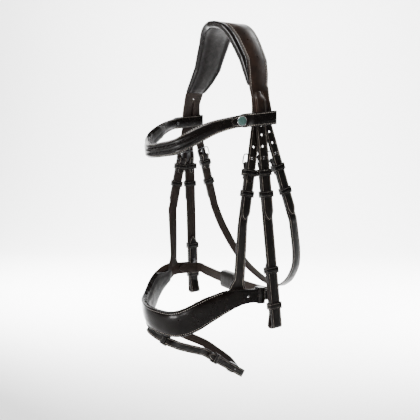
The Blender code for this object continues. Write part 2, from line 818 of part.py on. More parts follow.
def turned(frame, profile, sides):
    """A solid of revolution from rows of height and radius."""
    sections = []
    for height, radius in profile:
        middle = frame.origin + frame.out * height
        sections.append([middle + frame.along * x + frame.across * y
                         for x, y in arc(radius, 0, 360, sides)[:-1]])
    return loft(sections)


# Cheekpiece, folded up at the bottom to hold the bit's ring
def cheekpiece(name):
    line = LINES["cheek"]
    low = BIT_FOLD_AT - LEATHER / 2
    span = BIT_LOOP_INSIDE + LEATHER
    inner = -STEP - BIT_PLY_STEP
    corner = BIT_CORNER
    soft = corner * 0.3
    pairs = fold_pairs(CHEEK.bar)
    pairs += [
        (low - corner, -STEP), (low - soft, -STEP - soft), (low, -STEP - corner),
        (low, -STEP - span + corner), (low - soft, -STEP - span + soft),
        (low - corner, -STEP - span), (low - BIT_LOOP_HEIGHT, inner), (BIT_BILLET_TIP_AT, inner),
    ]
    path = line.path(pairs)
    rows = fold_rows(path, CHEEK.width, CHEEK.neck)
    half = CHEEK.width / 2
    rows += [(mark, -half, half) for mark in path.marks[-8:-1]]
    rows += even(tip_marks(path.length, CHEEK.width), CHEEK.width)
    obj = build(name, strap(path, rows), "leather")
    cut(obj, tongue_slot(line, CHEEK.bar))
    slot = HOOK_WIDTH / 2 + SLOT_CLEAR
    reach = LEATHER / 2 + GAP
    start = HOOK_STUD_AT - HOOK_WIDTH
    cut(obj, line_box(line, (start, start + HOOK_SLOT_LENGTH), (-slot, slot),
                      (inner - reach, inner + reach)))
    sunk = LEATHER / 2 - KEEPER_SINK
    join(obj, keeper_mesh(line, BIT_KEEPER_AT, CHEEK.width, inner - sunk, -STEP + sunk))
    return obj


def hook_stud(name):
    """A flange between the plies, with a hook through the inner ply's slot."""
    line = LINES["cheek"]
    inner = -STEP - BIT_PLY_STEP
    back = inner - LEATHER / 2 - GAP
    face = inner + LEATHER / 2 + GAP
    half = HOOK_WIDTH / 2
    obj = build(name, disc(line.frame(HOOK_STUD_AT), face, face + STUD_FLANGE,
                           STUD_FLANGE_RADIUS, SNAP_SIDES), "steel")
    join(obj, line_box(line, (HOOK_STUD_AT - half, HOOK_STUD_AT + half), (-half, half),
                       (back - HOOK_THICK / 2, face + STUD_FLANGE / 2)))
    outline = (
        (HOOK_STUD_AT - half * 1.5, back), (HOOK_STUD_AT + HOOK_REACH, back),
        (HOOK_STUD_AT + HOOK_REACH, back - HOOK_THICK * 0.7),
        (HOOK_STUD_AT + HOOK_REACH * 0.7, back - HOOK_THICK),
        (HOOK_STUD_AT - half, back - HOOK_THICK), (HOOK_STUD_AT - half * 1.5, back - HOOK_THICK / 2),
    )
    wide = HOOK_WIDTH * 0.9
    sections = [[line.point(distance, across, out) for distance, out in outline]
                for across in (-wide, wide)]
    join(obj, loft(sections))
    return obj


# Browband
def band_z(y):
    return LOOP_Z + LOOP_TILT * (y - CHEEK.start_y)


WALL_X = ARCH_HALF_SPAN - LEATHER - LOOP_CLEAR
TAB_X = ARCH_HALF_SPAN + LEATHER * 1.5 + LAYER_GAP + LOOP_CLEAR
TURN_Y = THROAT.start_y + THROAT.width / 2 + LOOP_REAR_CLEAR


def band_path():
    """From the right loop's split over the brow to the left loop's split."""
    half = [Vector((WALL_X * x, -BAND_DEPTH * y, LOOP_Z - BAND_DIP * dip))
            for x, y, dip, height in BAND_SHARES]
    front_y = FRONT.start_y - FRONT.width / 2
    half.append(Vector((WALL_X, front_y, band_z(front_y))))
    curve = smooth([flip(point) for point in reversed(half[1:])] + half, 3)
    count = len(curve) // 2
    left = curve[count:]
    outer = TAB_X + TAB_LEATHER / 2
    corner = TURN_Y + LEATHER / 2 - LOOP_CORNER
    for middle, start in ((WALL_X + LOOP_CORNER, 180), (outer - LOOP_CORNER, 90)):
        for x, y in arc(LOOP_CORNER, start, start - 90, 3):
            left.append(Vector((middle + x, corner + y, band_z(corner + y))))
    corner -= BAND_SPLIT
    left.append(Vector((outer, corner, band_z(corner))))
    return Path([flip(point) for point in reversed(left[1:])] + left, (0.0, 0.0, 1.0))


BAND = band_path()
BAND_HALF = BAND.length / 2


def band_shares():
    """The band's rows: distance from the middle, height and how proud the ridges stand."""
    rows = []
    start = len(BAND.points) // 2
    last = len(BAND_SHARES) - 1
    for index, (x, y, dip, height) in enumerate(BAND_SHARES):
        distance = BAND.marks[start + index * 3] - BAND_HALF
        share = min(max((BAND_RIDGE_END - index / last) / BAND_RIDGE_FADE, 0.0), 1.0)
        merge = read_table(RIDGE_MERGE_SHARES, index / last, 1)
        rows.append((distance, BAND_HEIGHT * height, BAND_RIDGE * share ** 0.5, merge))
    for index in range(start + last * 3 + 3, len(BAND.points)):
        rows.append((BAND.marks[index] - BAND_HALF, BAND_HEIGHT * LOOP_HEIGHT_SHARE, 0.0, 1.0))
    return rows


def both_ways(rows):
    """Rows of a symmetric strap, from its right end to its left end."""
    return [(-row[0], *row[1:]) for row in reversed(rows[1:])] + list(rows)


def browband_leather():
    sections = []
    for distance, height, proud, merge in both_ways(band_shares()):
        frame = BAND.frame(BAND_HALF + distance)
        half = height / 2
        bevel = EDGE_BEVEL / half
        face = [(u, rise + (single - rise) * merge) for u, rise, single in RIDGE_SHARES]
        outline = [(half - EDGE_BEVEL, -LEATHER / 2), (half, -LEATHER / 2 + EDGE_BEVEL)]
        outline += [(half, LEATHER / 2 - EDGE_BEVEL)]
        outline += [(half * u * (1 - bevel), LEATHER / 2 + proud * rise)
                    for u, rise in reversed(face)]
        outline += [(-half, LEATHER / 2 - EDGE_BEVEL), (-half, -LEATHER / 2 + EDGE_BEVEL)]
        outline += [(-half + EDGE_BEVEL, -LEATHER / 2), (0.0, -LEATHER / 2)]
        sections.append([at(frame, across, out) for across, out in outline])
    obj = build("browband_leather", loft(sections), "leather")
    for side in (-1, 1):
        frame = snap_frame(side)
        cut(obj, disc(frame, -LEATHER / 2 - OVERRUN, LEATHER / 2 + OVERRUN,
                      CAP_SHANK_RADIUS + GAP, SNAP_SIDES))
    return obj


def cushion(name, path, rows, depth, finish="padding"):
    """A soft pad behind a band. Rows give a distance, the two edges and a share of depth."""
    sections = []
    for distance, low, high, share in rows:
        frame = path.frame(distance)
        back = -LEATHER / 2 - PAD_GAP
        deep = depth * share
        wide = high - low
        outline = (
            (low, back), (low - wide * 0.01, back - deep * 0.35), (low + wide * 0.05, back - deep * 0.8),
            (low + wide * 0.2, back - deep), (low + wide * 0.5, back - deep * 0.92),
            (high - wide * 0.2, back - deep), (high - wide * 0.05, back - deep * 0.8),
            (high + wide * 0.01, back - deep * 0.35), (high, back), ((low + high) / 2, back),
        )
        sections.append([at(frame, across, out) for across, out in outline])
    return build(name, loft(sections), finish)


def pad_rows(rows, end, edge):
    """A pad's rows up to an end, with the last one drawn in."""
    inside = [row for row in rows if row[0] <= end]
    pad = [(row[0], -row[1] / 2 + edge, row[1] / 2 - edge, 1.0) for row in inside]
    distance, low, high, share = pad[-1]
    pad[-1] = (distance, low * PAD_END_SHARES[0], high * PAD_END_SHARES[0], PAD_END_SHARES[1])
    return pad


def browband_padding():
    rows = both_ways(pad_rows(band_shares(), BAND_HALF * BAND_PADDING_END_SHARE, GAP))
    centred = [(BAND_HALF + row[0], *row[1:]) for row in rows]
    return cushion("browband_padding", BAND, centred, BAND_PADDING)


def snap_distance():
    """Where the snap sits: ahead of the front strap by a fixed distance."""
    front_y = FRONT.start_y - FRONT.width / 2 - SNAP_AHEAD
    return BAND.distance_at_y(front_y) - BAND_HALF


def snap_frame(side):
    frame = BAND.frame(BAND_HALF + snap_distance())
    if side > 0:
        return frame
    return Frame(flip(frame.origin), flip(frame.along), flip(frame.across), flip(frame.out))


def tab_path():
    """From the hinge at the loop's split forward, and in to the band's face."""
    start = BAND.points[-1]
    front_y = FRONT.start_y - FRONT.width / 2
    points = [start - Vector((0.0, GAP, 0.0)), Vector((start.x, front_y, band_z(front_y)))]
    out = LEATHER / 2 + SNAP_SPACE + TAB_LEATHER / 2
    snap = snap_frame(1)
    points += [at(snap, 0.0, out) + snap.along * CAP_RADIUS * ahead for ahead in (1.4, 0.9, 0.0)]
    bend = smooth(points[1:], 3)
    end = at(snap, 0.0, out) - snap.along * TAB_PAST_SNAP
    return Path([points[0]] + bend + [end], (0.0, 0.0, 1.0))


TAB = tab_path()


def browband_tab(name):
    height = BAND_HEIGHT
    length = TAB.length
    end = height * TAB_END_HEIGHT_SHARE
    marks = [(mark, height * LOOP_HEIGHT_SHARE) for mark in TAB.marks if mark < length - end]
    marks += [(length - end * 0.5, end), (length - end * 0.2, end * 0.86),
              (length - end * 0.05, end * 0.62), (length, end * 0.45)]
    rows = [(mark, -size / 2, size / 2) for mark, size in marks]
    obj = build(name, strap(TAB, rows, TAB_LEATHER), "leather")
    frame = snap_frame(1)
    middle = LEATHER / 2 + SNAP_SPACE + TAB_LEATHER / 2
    cut(obj, disc(frame, middle - OVERRUN, middle + OVERRUN, CAP_SHANK_RADIUS + GAP, SNAP_SIDES))
    return obj


def snap_stud(name):
    """A knob on the band, riveted through it with a thin flange behind."""
    face = LEATHER / 2
    back = -face - 2 * GAP
    knob = SOCKET_RADIUS - SOCKET_WALL - GAP
    profile = (
        (back - SNAP_FLANGE, FLANGE_RADIUS), (back, FLANGE_RADIUS), (back, CAP_SHANK_RADIUS),
        (face + GAP, CAP_SHANK_RADIUS), (face + GAP, knob), (face + SNAP_SPACE * 0.6, knob),
        (face + SNAP_SPACE - 2 * GAP, knob * 0.7),
    )
    return build(name, turned(snap_frame(1), profile, SNAP_SIDES), "steel")


def snap_cap(name):
    """A round cap on the tab, whose socket takes the knob."""
    face = LEATHER / 2
    inside = face + SNAP_SPACE
    tab_face = inside + TAB_LEATHER
    cavity = SOCKET_RADIUS - SOCKET_WALL
    roof = inside - GAP
    mouth = face + 2 * GAP
    profile = (
        (roof, cavity), (mouth, cavity), (mouth, SOCKET_RADIUS),
        (inside - GAP / 2, SOCKET_RADIUS), (inside - GAP / 2, CAP_SHANK_RADIUS),
        (tab_face + GAP, CAP_SHANK_RADIUS), (tab_face + GAP, CAP_RADIUS),
        (tab_face + GAP + CAP_RISE * 0.5, CAP_RADIUS), (tab_face + GAP + CAP_RISE, CAP_RADIUS * 0.86),
        (tab_face + GAP + CAP_RISE * 1.1, CAP_RADIUS * 0.5),
    )
    return build(name, turned(snap_frame(1), profile, SNAP_SIDES * 4 // 3), "enamel")


# Noseband
NOSE_REAR = Vector((NOSE_HALF_SPAN * NOSE_SHARES[-1][0], NOSE_FRONT_Y + NOSE_DEPTH
                    * NOSE_SHARES[-1][1], NOSE_REAR_Z - NOSE_DIP * NOSE_SHARES[-1][2]))
LINES["chin"] = Line(NOSE_REAR, (CHIN_SLOPE_OUT, 1.0, -CHIN_SLOPE_DOWN), (0.0, 0.0, 1.0))


def nose_path():
    half = [Vector((NOSE_HALF_SPAN * x, NOSE_FRONT_Y + NOSE_DEPTH * y, NOSE_REAR_Z - NOSE_DIP * dip))
            for x, y, dip, height in NOSE_SHARES]
    half.append(LINES["chin"].point(NOSE_END_LENGTH))
    points = [flip(point) for point in reversed(half[1:])] + half
    return Path(smooth(points, 3), (0.0, NOSE_TILT, 1.0))


NOSE = nose_path()
NOSE_HALF = NOSE.length / 2


def nose_rows():
    """Distance from the middle, height and how far the welts and padded face stand out."""
    rows = []
    start = len(NOSE.points) // 2
    for index, (x, y, dip, height) in enumerate(NOSE_SHARES):
        distance = NOSE.marks[start + index * 3] - NOSE_HALF
        swell = (height - NOSE_FLAT_SHARE) / (NOSE_FULL_SHARE - NOSE_FLAT_SHARE)
        rows.append((distance, NOSE_HEIGHT * height, min(max(swell, 0.0), 1.0)))
    end = NOSE_END_HEIGHT
    last = NOSE.length - NOSE_HALF
    rows.append((last - NOSE_END_LENGTH * 0.7, end, 0.0))
    rows += [(last - end * back, end * share, 0.0)
             for back, share in ((0.30, 1.0), (0.14, 0.86), (0.04, 0.62), (0.0, 0.44))]
    return rows


def nose_height(distance):
    return read_table(nose_rows(), distance - NOSE_HALF, 1)


def noseband_leather():
    sections = []
    for distance, height, swell in both_ways(nose_rows()):
        frame = NOSE.frame(NOSE_HALF + distance)
        half = height / 2
        bevel = EDGE_BEVEL
        outline = [(half - bevel, -LEATHER / 2), (half, -LEATHER / 2 + bevel),
                   (half, LEATHER / 2 - bevel)]
        for u, welt, crown in reversed(NOSE_FACE_SHARES):
            rise = (NOSE_WELT * welt + NOSE_CROWN * crown) * swell
            outline.append((half * u, LEATHER / 2 + rise))
        outline += [(-half, LEATHER / 2 - bevel), (-half, -LEATHER / 2 + bevel),
                    (-half + bevel, -LEATHER / 2), (0.0, -LEATHER / 2)]
        sections.append([at(frame, across, out) for across, out in outline])
    obj = build("noseband_leather", loft(sections), "leather")
    stud = CHIN_BAR - FRAME_HEIGHT + STUD_BELOW_FRAME
    for number in (0, 1):
        cut(obj, hole_cutter(LINES["chin"], stud + number * HOLE_PITCH))
    return obj


def noseband_padding():
    end = NOSE.distance_at_y(NOSE_PADDING_END_Y) - NOSE_HALF
    foot = NOSE.distance_at_y(HANGER_SEAT_Y - FRONT.width / 2 - HANGER_FLARE) - NOSE_HALF
    rows = []
    for distance, low, high, share in pad_rows(nose_rows(), end, GAP):
        lowered = HANGER_SEAT_DEPTH * 2.4 if distance > foot - NOSE_HEIGHT * 0.3 else 0.0
        rows.append((distance, low, min(high, nose_height(NOSE_HALF + distance) / 2 - lowered), share))
    centred = [(NOSE_HALF + row[0], *row[1:]) for row in both_ways(rows)]
    return cushion("noseband_padding", NOSE, centred, NOSE_PADDING)


# Hangers, buckled to the front billets and sewn in behind the noseband's leather
def hanger(name):
    line = LINES["front"]
    seat_at = NOSE.distance_at_y(HANGER_SEAT_Y)
    turned = NOSE.frame(seat_at - HANGER_FLARE / 2)
    seat = Frame(NOSE.frame(seat_at).origin, turned.along, turned.across, turned.out)
    half = nose_height(seat_at) / 2
    out = -STEP - HANGER_SEAT_SINK
    bend_start = HANGER_STRAIGHT - STRAIGHT_TAIL
    start = line.path(fold_pairs(FRONT.bar) + [(bend_start, -STEP)])
    rise = FRONT.width
    end = line.point(HANGER_STRAIGHT, 0.0, -STEP)
    top = at(seat, half + rise * 0.35, out)
    bend = smooth([line.point(bend_start, 0.0, -STEP), end, end.lerp(top, 0.4), end.lerp(top, 0.8),
                   top, at(seat, half - HANGER_SEAT_DEPTH, out)], 3)
    turns = ((0.55, line.across), (0.95, seat.along))
    path = Path(start.points + bend[1:], line.across, turns)
    rows = fold_rows(path, FRONT.width, FRONT.neck)
    edge = FRONT.width / 2
    foot = path.length - HANGER_SEAT_DEPTH
    rows += [(mark, -edge, edge) for mark in path.marks[FOLD_STEPS + 3:] if mark < foot - rise * 0.9]
    rows += [(foot - rise * back, -edge - HANGER_FLARE * share, edge)
             for back, share in ((0.85, 0.0), (0.5, 0.14), (0.22, 0.40), (0.0, 0.75))]
    rows.append((path.length, -edge - HANGER_FLARE, edge))
    obj = build(name, strap(path, rows), "leather")
    cut(obj, tongue_slot(line, FRONT.bar))
    return obj


# Chin strap and its sliding pad
def chin_strap():
    line = LINES["chin"]
    straight = (CHIN_BACK_Y - CHIN_CORNER - NOSE_REAR.y) / line.along.y
    start = line.path(fold_pairs(CHIN_BAR) + [(straight, -STEP)])
    turn_end = start.points[-1]
    centre = Vector((turn_end.x - CHIN_CORNER, turn_end.y, turn_end.z))
    corner = [centre + Vector((x, y, 0.0)) for x, y in arc(CHIN_CORNER, 0, 90, 5)[1:]]
    wide = centre.x * 0.86
    back = [Vector((wide, CHIN_BACK_Y, (CHIN_SAG_Z + centre.z) / 2)),
            Vector((CHIN_PAD_LENGTH, CHIN_BACK_Y, CHIN_SAG_Z))]
    lap = [flip(line.point(straight, 0.0, -STEP)),
           flip(line.point(NOSE_END_LENGTH - CHIN_END_LAP, 0.0, -STEP))]
    points = start.points + corner + back + [flip(point) for point in reversed(corner + back)] + lap
    path = Path(points, (0.0, 0.0, 1.0))
    half = CHIN_WIDTH / 2
    rows = fold_rows(path, CHIN_WIDTH, CHIN_NECK)
    last = path.length - CHIN_WIDTH
    rows += [(mark, -half, half) for mark in path.marks[FOLD_STEPS + 3:] if mark < last]
    rows += even(tip_marks(path.length, CHIN_WIDTH), CHIN_WIDTH)
    obj = build("chin_strap", strap(path, rows), "leather")
    cut(obj, tongue_slot(line, CHIN_BAR))
    return obj


def chin_pad():
    """A soft sleeve that slides along the chin strap."""
    centre = Vector((0.0, CHIN_BACK_Y, CHIN_SAG_Z))
    sections = []
    length = CHIN_PAD_LENGTH / 2
    ends = ((-1.0, 0.80), (-0.93, 0.94), (-0.6, 1.0), (0.6, 1.0), (0.93, 0.94), (1.0, 0.80))
    sides = len(ends) * 2
    for x, share in ends:
        front = LEATHER / 2 + CHIN_PAD_FRONT * share
        back = LEATHER / 2 + CHIN_PAD_BACK * share
        high = CHIN_PAD_HEIGHT / 2 * (share * 0.4 + 0.6)
        section = []
        for y, z in arc(1.0, 15, 375, sides)[:-1]:
            flat_y = math.copysign(abs(y) ** 0.48, y)
            flat_z = math.copysign(abs(z) ** 0.48, z)
            reach = back if y > 0 else front
            section.append(centre + Vector((length * x, reach * flat_y, high * flat_z)))
        sections.append(section)
    inner = CHIN_WIDTH / 2 + CHIN_SLOT_CLEAR
    thick = LEATHER / 2 + CHIN_SLOT_CLEAR
    corners = arc(1.0, 15, 375, sides)[:-1]
    for x in (1.0, -1.0):
        section = []
        for y, z in corners:
            scale = 1.0 / max(abs(y), abs(z))
            section.append(centre + Vector((length * x, thick * y * scale, inner * z * scale)))
        sections.append(section)
    obj = build("chin_pad", loft(sections, closed=True), "padding")
    set_origin(obj, centre)
    return obj


# Throatlatch
def throatlatch():
    line = LINES["throat"]
    start = line.path(fold_pairs(THROAT.bar) + [(THROAT_STRAIGHT - STRAIGHT_TAIL, -STEP)])
    end = line.point(THROAT_STRAIGHT, 0.0, -STEP)
    back = THROAT_LOW_Y - end.y
    down = THROAT_LOW_Z - end.z
    curve = [start.points[-1], end]
    curve += [Vector((end.x * x, end.y + back * y, end.z + down * z)) for x, y, z in THROAT_SHARES]
    curve.append(Vector((0.0, THROAT_LOW_Y, THROAT_LOW_Z)))
    curve += [flip(point) for point in reversed(curve[:-1])]
    run = smooth(curve, 3)[1:-1]
    left = start.points
    points = left + run + [flip(point) for point in reversed(left)]
    turns = ((0.2, line.across), (0.4, (0.0, 1.0, 0.0)), (0.6, (0.0, 1.0, 0.0)),
             (0.8, flip(line.across)))
    path = Path(points, line.across, turns)
    rows = fold_rows(path, THROAT.width, THROAT.neck)
    half = THROAT.width / 2
    middle = [(mark, -half, half) for mark in path.marks[len(left) - 1:len(left) + len(run) + 1]]
    rows = rows + middle + [(path.length - row[0], *row[1:]) for row in reversed(rows)]
    obj = build("throatlatch", strap(path, rows), "leather")
    for side in (1, -1):
        cutter = tongue_slot(line, THROAT.bar)
        cutter.transform(Matrix.Scale(side, 4, (1.0, 0.0, 0.0)))
        cut(obj, cutter)
    return obj


# Flash strap
NOSE_MIDDLE = NOSE.frame(NOSE_HALF)
FLASH_HINGE = at(NOSE_MIDDLE, -NOSE_HEIGHT / 2 - 4 * GAP, -STEP / 2)
FLASH_RING = FLASH_HINGE + Vector((0.0, FLASH_HANG_BACK, -FLASH_HANG_DROP))
FLASH_END = Vector((0.0, FLASH_HINGE.y + FLASH_BACK, FLASH_HINGE.z - FLASH_DROP))
LINES["flash"] = Line(FLASH_END, FLASH_ALONG, FLASH_LEAD)
LINES["ring"] = Line(FLASH_RING, (-1.0, 0.0, 0.0), LINES["flash"].across)


def flash_place(back, down, aside):
    run = FLASH_END - FLASH_RING
    return FLASH_RING + Vector((FLASH_BULGE * aside, run.y * back, run.z * down))


def flash_strap():
    line = LINES["flash"]
    start = line.path(fold_pairs(FLASH_BAR, FLASH_TURN_BACK) + [(FLASH_STRAIGHT, -STEP)])
    ring = LINES["ring"]
    reach = FLASH_RING_LENGTH * 0.54
    edge = reach * 1.15
    run = [start.points[-2], start.points[-1]]
    run += [flash_place(*row) for row in FLASH_NEAR_SHARES]
    run += [ring.point(place) for place in (-edge, -reach, 0.0, reach, edge)]
    run += [flash_place(*row) for row in FLASH_FAR_SHARES]
    run.append(line.point(0.0, 0.0, -4 * STEP))
    curve = smooth(run, 3)[3:]
    turn = [line.point(-up, 0.0, -2 * STEP + out) for out, up in arc(2 * STEP, 180, 0, 6)]
    tip = [line.point(FLASH_BAR * 1.5), line.point(FLASH_TIP_AT)]
    path = Path(start.points + curve[1:-1] + turn + tip, line.across)
    half = FLASH_WIDTH / 2
    rows = fold_rows(path, FLASH_WIDTH, FLASH_NECK)
    last = path.length - FLASH_WIDTH
    rows += [(mark, -half, half) for mark in path.marks[FOLD_STEPS + 3:] if mark < last]
    rows += even(tip_marks(path.length, FLASH_WIDTH), FLASH_WIDTH)
    obj = build("flash_strap", strap(path, rows), "leather")
    cut(obj, tongue_slot(line, FLASH_BAR))
    stud = FLASH_BAR - FRAME_HEIGHT + STUD_BELOW_FRAME
    cut(obj, disc(line.frame(stud), -LEATHER / 2 - GAP / 2, LEATHER / 2 + OVERRUN,
                  HOLE_RADIUS, HOLE_SIDES))
    sunk = LEATHER / 2 - KEEPER_SINK
    join(obj, keeper_mesh(line, FLASH_KEEPER_AT, FLASH_WIDTH, -STEP - sunk, sunk))
    return obj


def flash_loop():
    """A strip that hangs from the noseband, with a sleeve for the flash strap."""
    ring = LINES["ring"]
    low = -LEATHER / 2 - GAP
    high = LEATHER / 2 + GAP
    obj = build("flash_loop", keeper_mesh(ring, 0.0, FLASH_WIDTH, low, high, FLASH_RING_LENGTH),
                "leather")
    end = ring.point(0.0, -FLASH_WIDTH * 0.3, high + KEEPER_WALL * 0.7)
    path = Path([FLASH_HINGE, FLASH_HINGE.lerp(end, 0.5), end], (1.0, 0.0, 0.0))
    half = FLASH_RING_LENGTH / 2
    rows = [(mark, -half, half) for mark in path.marks]
    join(obj, strap(path, rows, TAB_LEATHER))
    return obj


# Bodies: an empty on each joint's axis carries the pieces that move together
def twin(obj, name, finish):
    """The right-hand twin, with its origin mirrored as well."""
    place = Vector(obj.location)
    other = mirrored(obj, name, finish)
    other.location = flip(place)
    return other


def pair(base, make, finish):
    """A left piece and its right twin, by side."""
    left = make(side_name(base, 1))
    return {1: left, -1: twin(left, side_name(base, -1), finish)}


def buckle_set(key, base):
    """The buckle frame, tongue and keepers of a strap run, on both sides."""
    line = LINES[key]
    spec = SPECS[key]
    width = spec.width
    return {
        "frame": pair("buckle_" + base, lambda name: buckle_frame(
            name, line, spec.bar, spec.neck, spec.play), "steel"),
        "tongue": pair("tongue_" + base, lambda name: tongue(name, line, spec.bar), "steel"),
        "upper": pair("keeper_" + base + "_upper", lambda name: ply_keeper(
            name, line, spec.bar + FIXED_KEEPER_DROP, width, 2), "leather"),
        "lower": pair("keeper_" + base + "_lower", lambda name: ply_keeper(
            name, line, RUNNER_AT, width, 1), "leather"),
    }


def bit_keeper(name):
    line = LINES["cheek"]
    low = -STEP - BIT_PLY_STEP - LEATHER / 2 - GAP
    bm = keeper_mesh(line, BIT_RUNNER_AT, CHEEK.width, low, -STEP + LEATHER / 2 + GAP)
    obj = build(name, bm, "leather")
    set_origin(obj, line.point(BIT_RUNNER_AT))
    return obj


for old in list(bpy.data.objects):
    bpy.data.objects.remove(old)

crown_leather()
crown_padding()
browband_leather()
browband_padding()
pair("snap_stud", snap_stud, "steel")
tabs = pair("browband_tab", browband_tab, "leather")
caps = pair("snap_cap", snap_cap, "enamel")

front = buckle_set("front", "front")
cheek = buckle_set("cheek", "cheek")
throat = buckle_set("throat", "throat")
billets = {key: pair("billet_" + key, lambda name, key=key: billet(name, SPECS[key]), "leather")
           for key in SPECS}
hangers = pair("hanger", hanger, "leather")
cheekpieces = pair("cheekpiece", cheekpiece, "leather")
hook_studs = pair("hook_stud", hook_stud, "steel")
bit_keepers = pair("keeper_bit", bit_keeper, "leather")

noseband = pivot("noseband_pivot", (0.0, FRONT.start_y, LOOP_EDGE_Z))
carry(noseband, noseband_leather(), noseband_padding(), chin_strap(), chin_pad())
chin = LINES["chin"]
carry(noseband, buckle_frame("chin_buckle", chin, CHIN_BAR, CHIN_NECK, CHIN_PLAY),
      tongue("chin_tongue", chin, CHIN_BAR))
chin_keeper_low = -LEATHER / 2 - STEP * 2 - GAP
chin_keeper_width = NOSE_END_HEIGHT
carry(noseband, build("chin_keeper", keeper_mesh(
    chin, CHIN_BAR + CHIN_KEEPER_DROP, chin_keeper_width, chin_keeper_low, LEATHER / 2 + GAP,
    CHIN_KEEPER_HEIGHT), "leather"))
flash = pivot("flash_pivot", FLASH_HINGE, noseband)
carry(flash, flash_loop(), flash_strap())
flash_line = LINES["flash"]
carry(flash, buckle_frame("flash_buckle", flash_line, FLASH_BAR, FLASH_NECK, FLASH_PLAY),
      tongue("flash_tongue", flash_line, FLASH_BAR))

throat_pivot = pivot("throatlatch_pivot", (0.0, THROAT.start_y, LOOP_EDGE_Z))
carry(throat_pivot, throatlatch())

for side in (1, -1):
    split = BAND.points[-1] + Vector((TAB_LEATHER / 2, 0.0, 0.0))
    tab_pivot = pivot(side_name("tab_pivot", side), split if side > 0 else flip(split))
    carry(tab_pivot, tabs[side], caps[side])
    outer = LINES["cheek"].point(0.0, 0.0, LEATHER / 2)
    cheek_pivot = pivot(side_name("cheek_pivot", side), outer if side > 0 else flip(outer))
    carry(cheek_pivot, billets["cheek"][side], cheekpieces[side], hook_studs[side],
          bit_keepers[side])
    carry(noseband, billets["front"][side], hangers[side])
    carry(throat_pivot, billets["throat"][side])
    for holder, pieces in ((noseband, front), (cheek_pivot, cheek), (throat_pivot, throat)):
        carry(holder, *(pieces[kind][side] for kind in ("frame", "tongue", "upper", "lower")))
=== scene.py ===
"""Anatomic bridle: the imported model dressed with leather, padding, stitching and metal.

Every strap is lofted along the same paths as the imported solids, in metres and in the same
frame, with finer edges, creases and seams. The camera, floor and lights come last.
"""

import json
import math
from collections import namedtuple

import bmesh
import bpy
from mathutils import Matrix, Vector, noise

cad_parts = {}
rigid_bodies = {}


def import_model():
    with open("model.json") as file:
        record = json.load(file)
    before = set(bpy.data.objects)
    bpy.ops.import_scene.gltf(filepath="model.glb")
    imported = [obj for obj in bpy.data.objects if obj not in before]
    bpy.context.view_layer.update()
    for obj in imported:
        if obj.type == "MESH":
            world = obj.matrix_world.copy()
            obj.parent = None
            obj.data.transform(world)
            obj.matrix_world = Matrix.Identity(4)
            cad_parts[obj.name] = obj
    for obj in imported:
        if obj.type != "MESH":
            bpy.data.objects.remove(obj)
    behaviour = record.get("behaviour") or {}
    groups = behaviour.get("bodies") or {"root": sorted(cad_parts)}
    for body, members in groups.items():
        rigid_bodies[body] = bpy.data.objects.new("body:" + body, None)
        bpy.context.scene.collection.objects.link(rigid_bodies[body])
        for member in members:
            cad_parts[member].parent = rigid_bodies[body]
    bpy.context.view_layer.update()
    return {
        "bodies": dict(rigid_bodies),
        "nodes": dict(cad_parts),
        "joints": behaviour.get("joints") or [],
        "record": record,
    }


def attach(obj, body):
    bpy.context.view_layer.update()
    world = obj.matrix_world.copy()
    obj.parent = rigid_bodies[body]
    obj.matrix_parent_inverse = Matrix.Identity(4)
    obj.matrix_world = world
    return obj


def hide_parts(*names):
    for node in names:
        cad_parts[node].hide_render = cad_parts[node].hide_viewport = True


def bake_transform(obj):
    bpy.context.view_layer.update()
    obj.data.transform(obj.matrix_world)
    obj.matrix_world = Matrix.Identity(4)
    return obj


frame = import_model()
nodes = frame["nodes"]

# Leather and clearances
LEATHER = 0.003
TAB_LEATHER = 0.0025
GAP = 0.0003
PAD_END_SHARES = (0.62, 0.45)
OVERRUN = 0.002
STEP = LEATHER + GAP

# Crown, an arch over the poll with a padded underside
ARCH_HALF_SPAN = 0.1045
ARCH_DROP = 0.1523
CROWN_WIDTH = 0.057
CROWN_PADDING = 0.0080
CROWN_ROLL_RISE = 0.0019
CROWN_TOP = LEATHER / 2 + GAP + CROWN_PADDING
ARCH_SHARES = (
    (0.0, 0.0), (0.15, 0.013), (0.288, 0.055), (0.415, 0.14), (0.54, 0.253), (0.655, 0.37),
    (0.793, 0.515), (0.898, 0.63), (0.957, 0.72), (0.988, 0.80), (1.0, 0.87), (1.0, 1.0),
)
# Front and rear edges in shares of the crown's width, by share of the way down the arch
CROWN_EDGE_SHARES = (
    (0.0, -0.53, 0.49), (0.14, -0.45, 0.52), (0.276, -0.34, 0.54), (0.48, -0.26, 0.53),
    (0.60, -0.277, 0.414), (0.70, -0.296, 0.27), (0.80, -0.288, 0.218),
)
TAILS_WIDE_SHARE = 0.93
SLIT_START_SHARE = 0.755
SLIT_WIDE_SHARE = 0.808
SLIT_START_WIDTH = 0.001
PADDING_END_SHARE = 0.70
# The stitched front roll and the rear roll show beside the leather, by share down the arch
ROLL_SHARES = ((0.0, 0.24, 0.06), (0.48, 0.24, 0.06), (0.58, 0.17, 0.06), (0.65, 0.10, 0.05),
               (0.70, 0.06, 0.04), (0.72, 0.0, 0.0))
# The padding thins towards its ends
PADDING_SHARES = ((0.55, 1.0), (0.65, 0.75), (0.70, 0.45))
CHEEK_TAIL_START_SHARE = 0.765
CHEEK_TAIL_FREE_SHARE = 0.83
LAYER_GAP = 0.0008

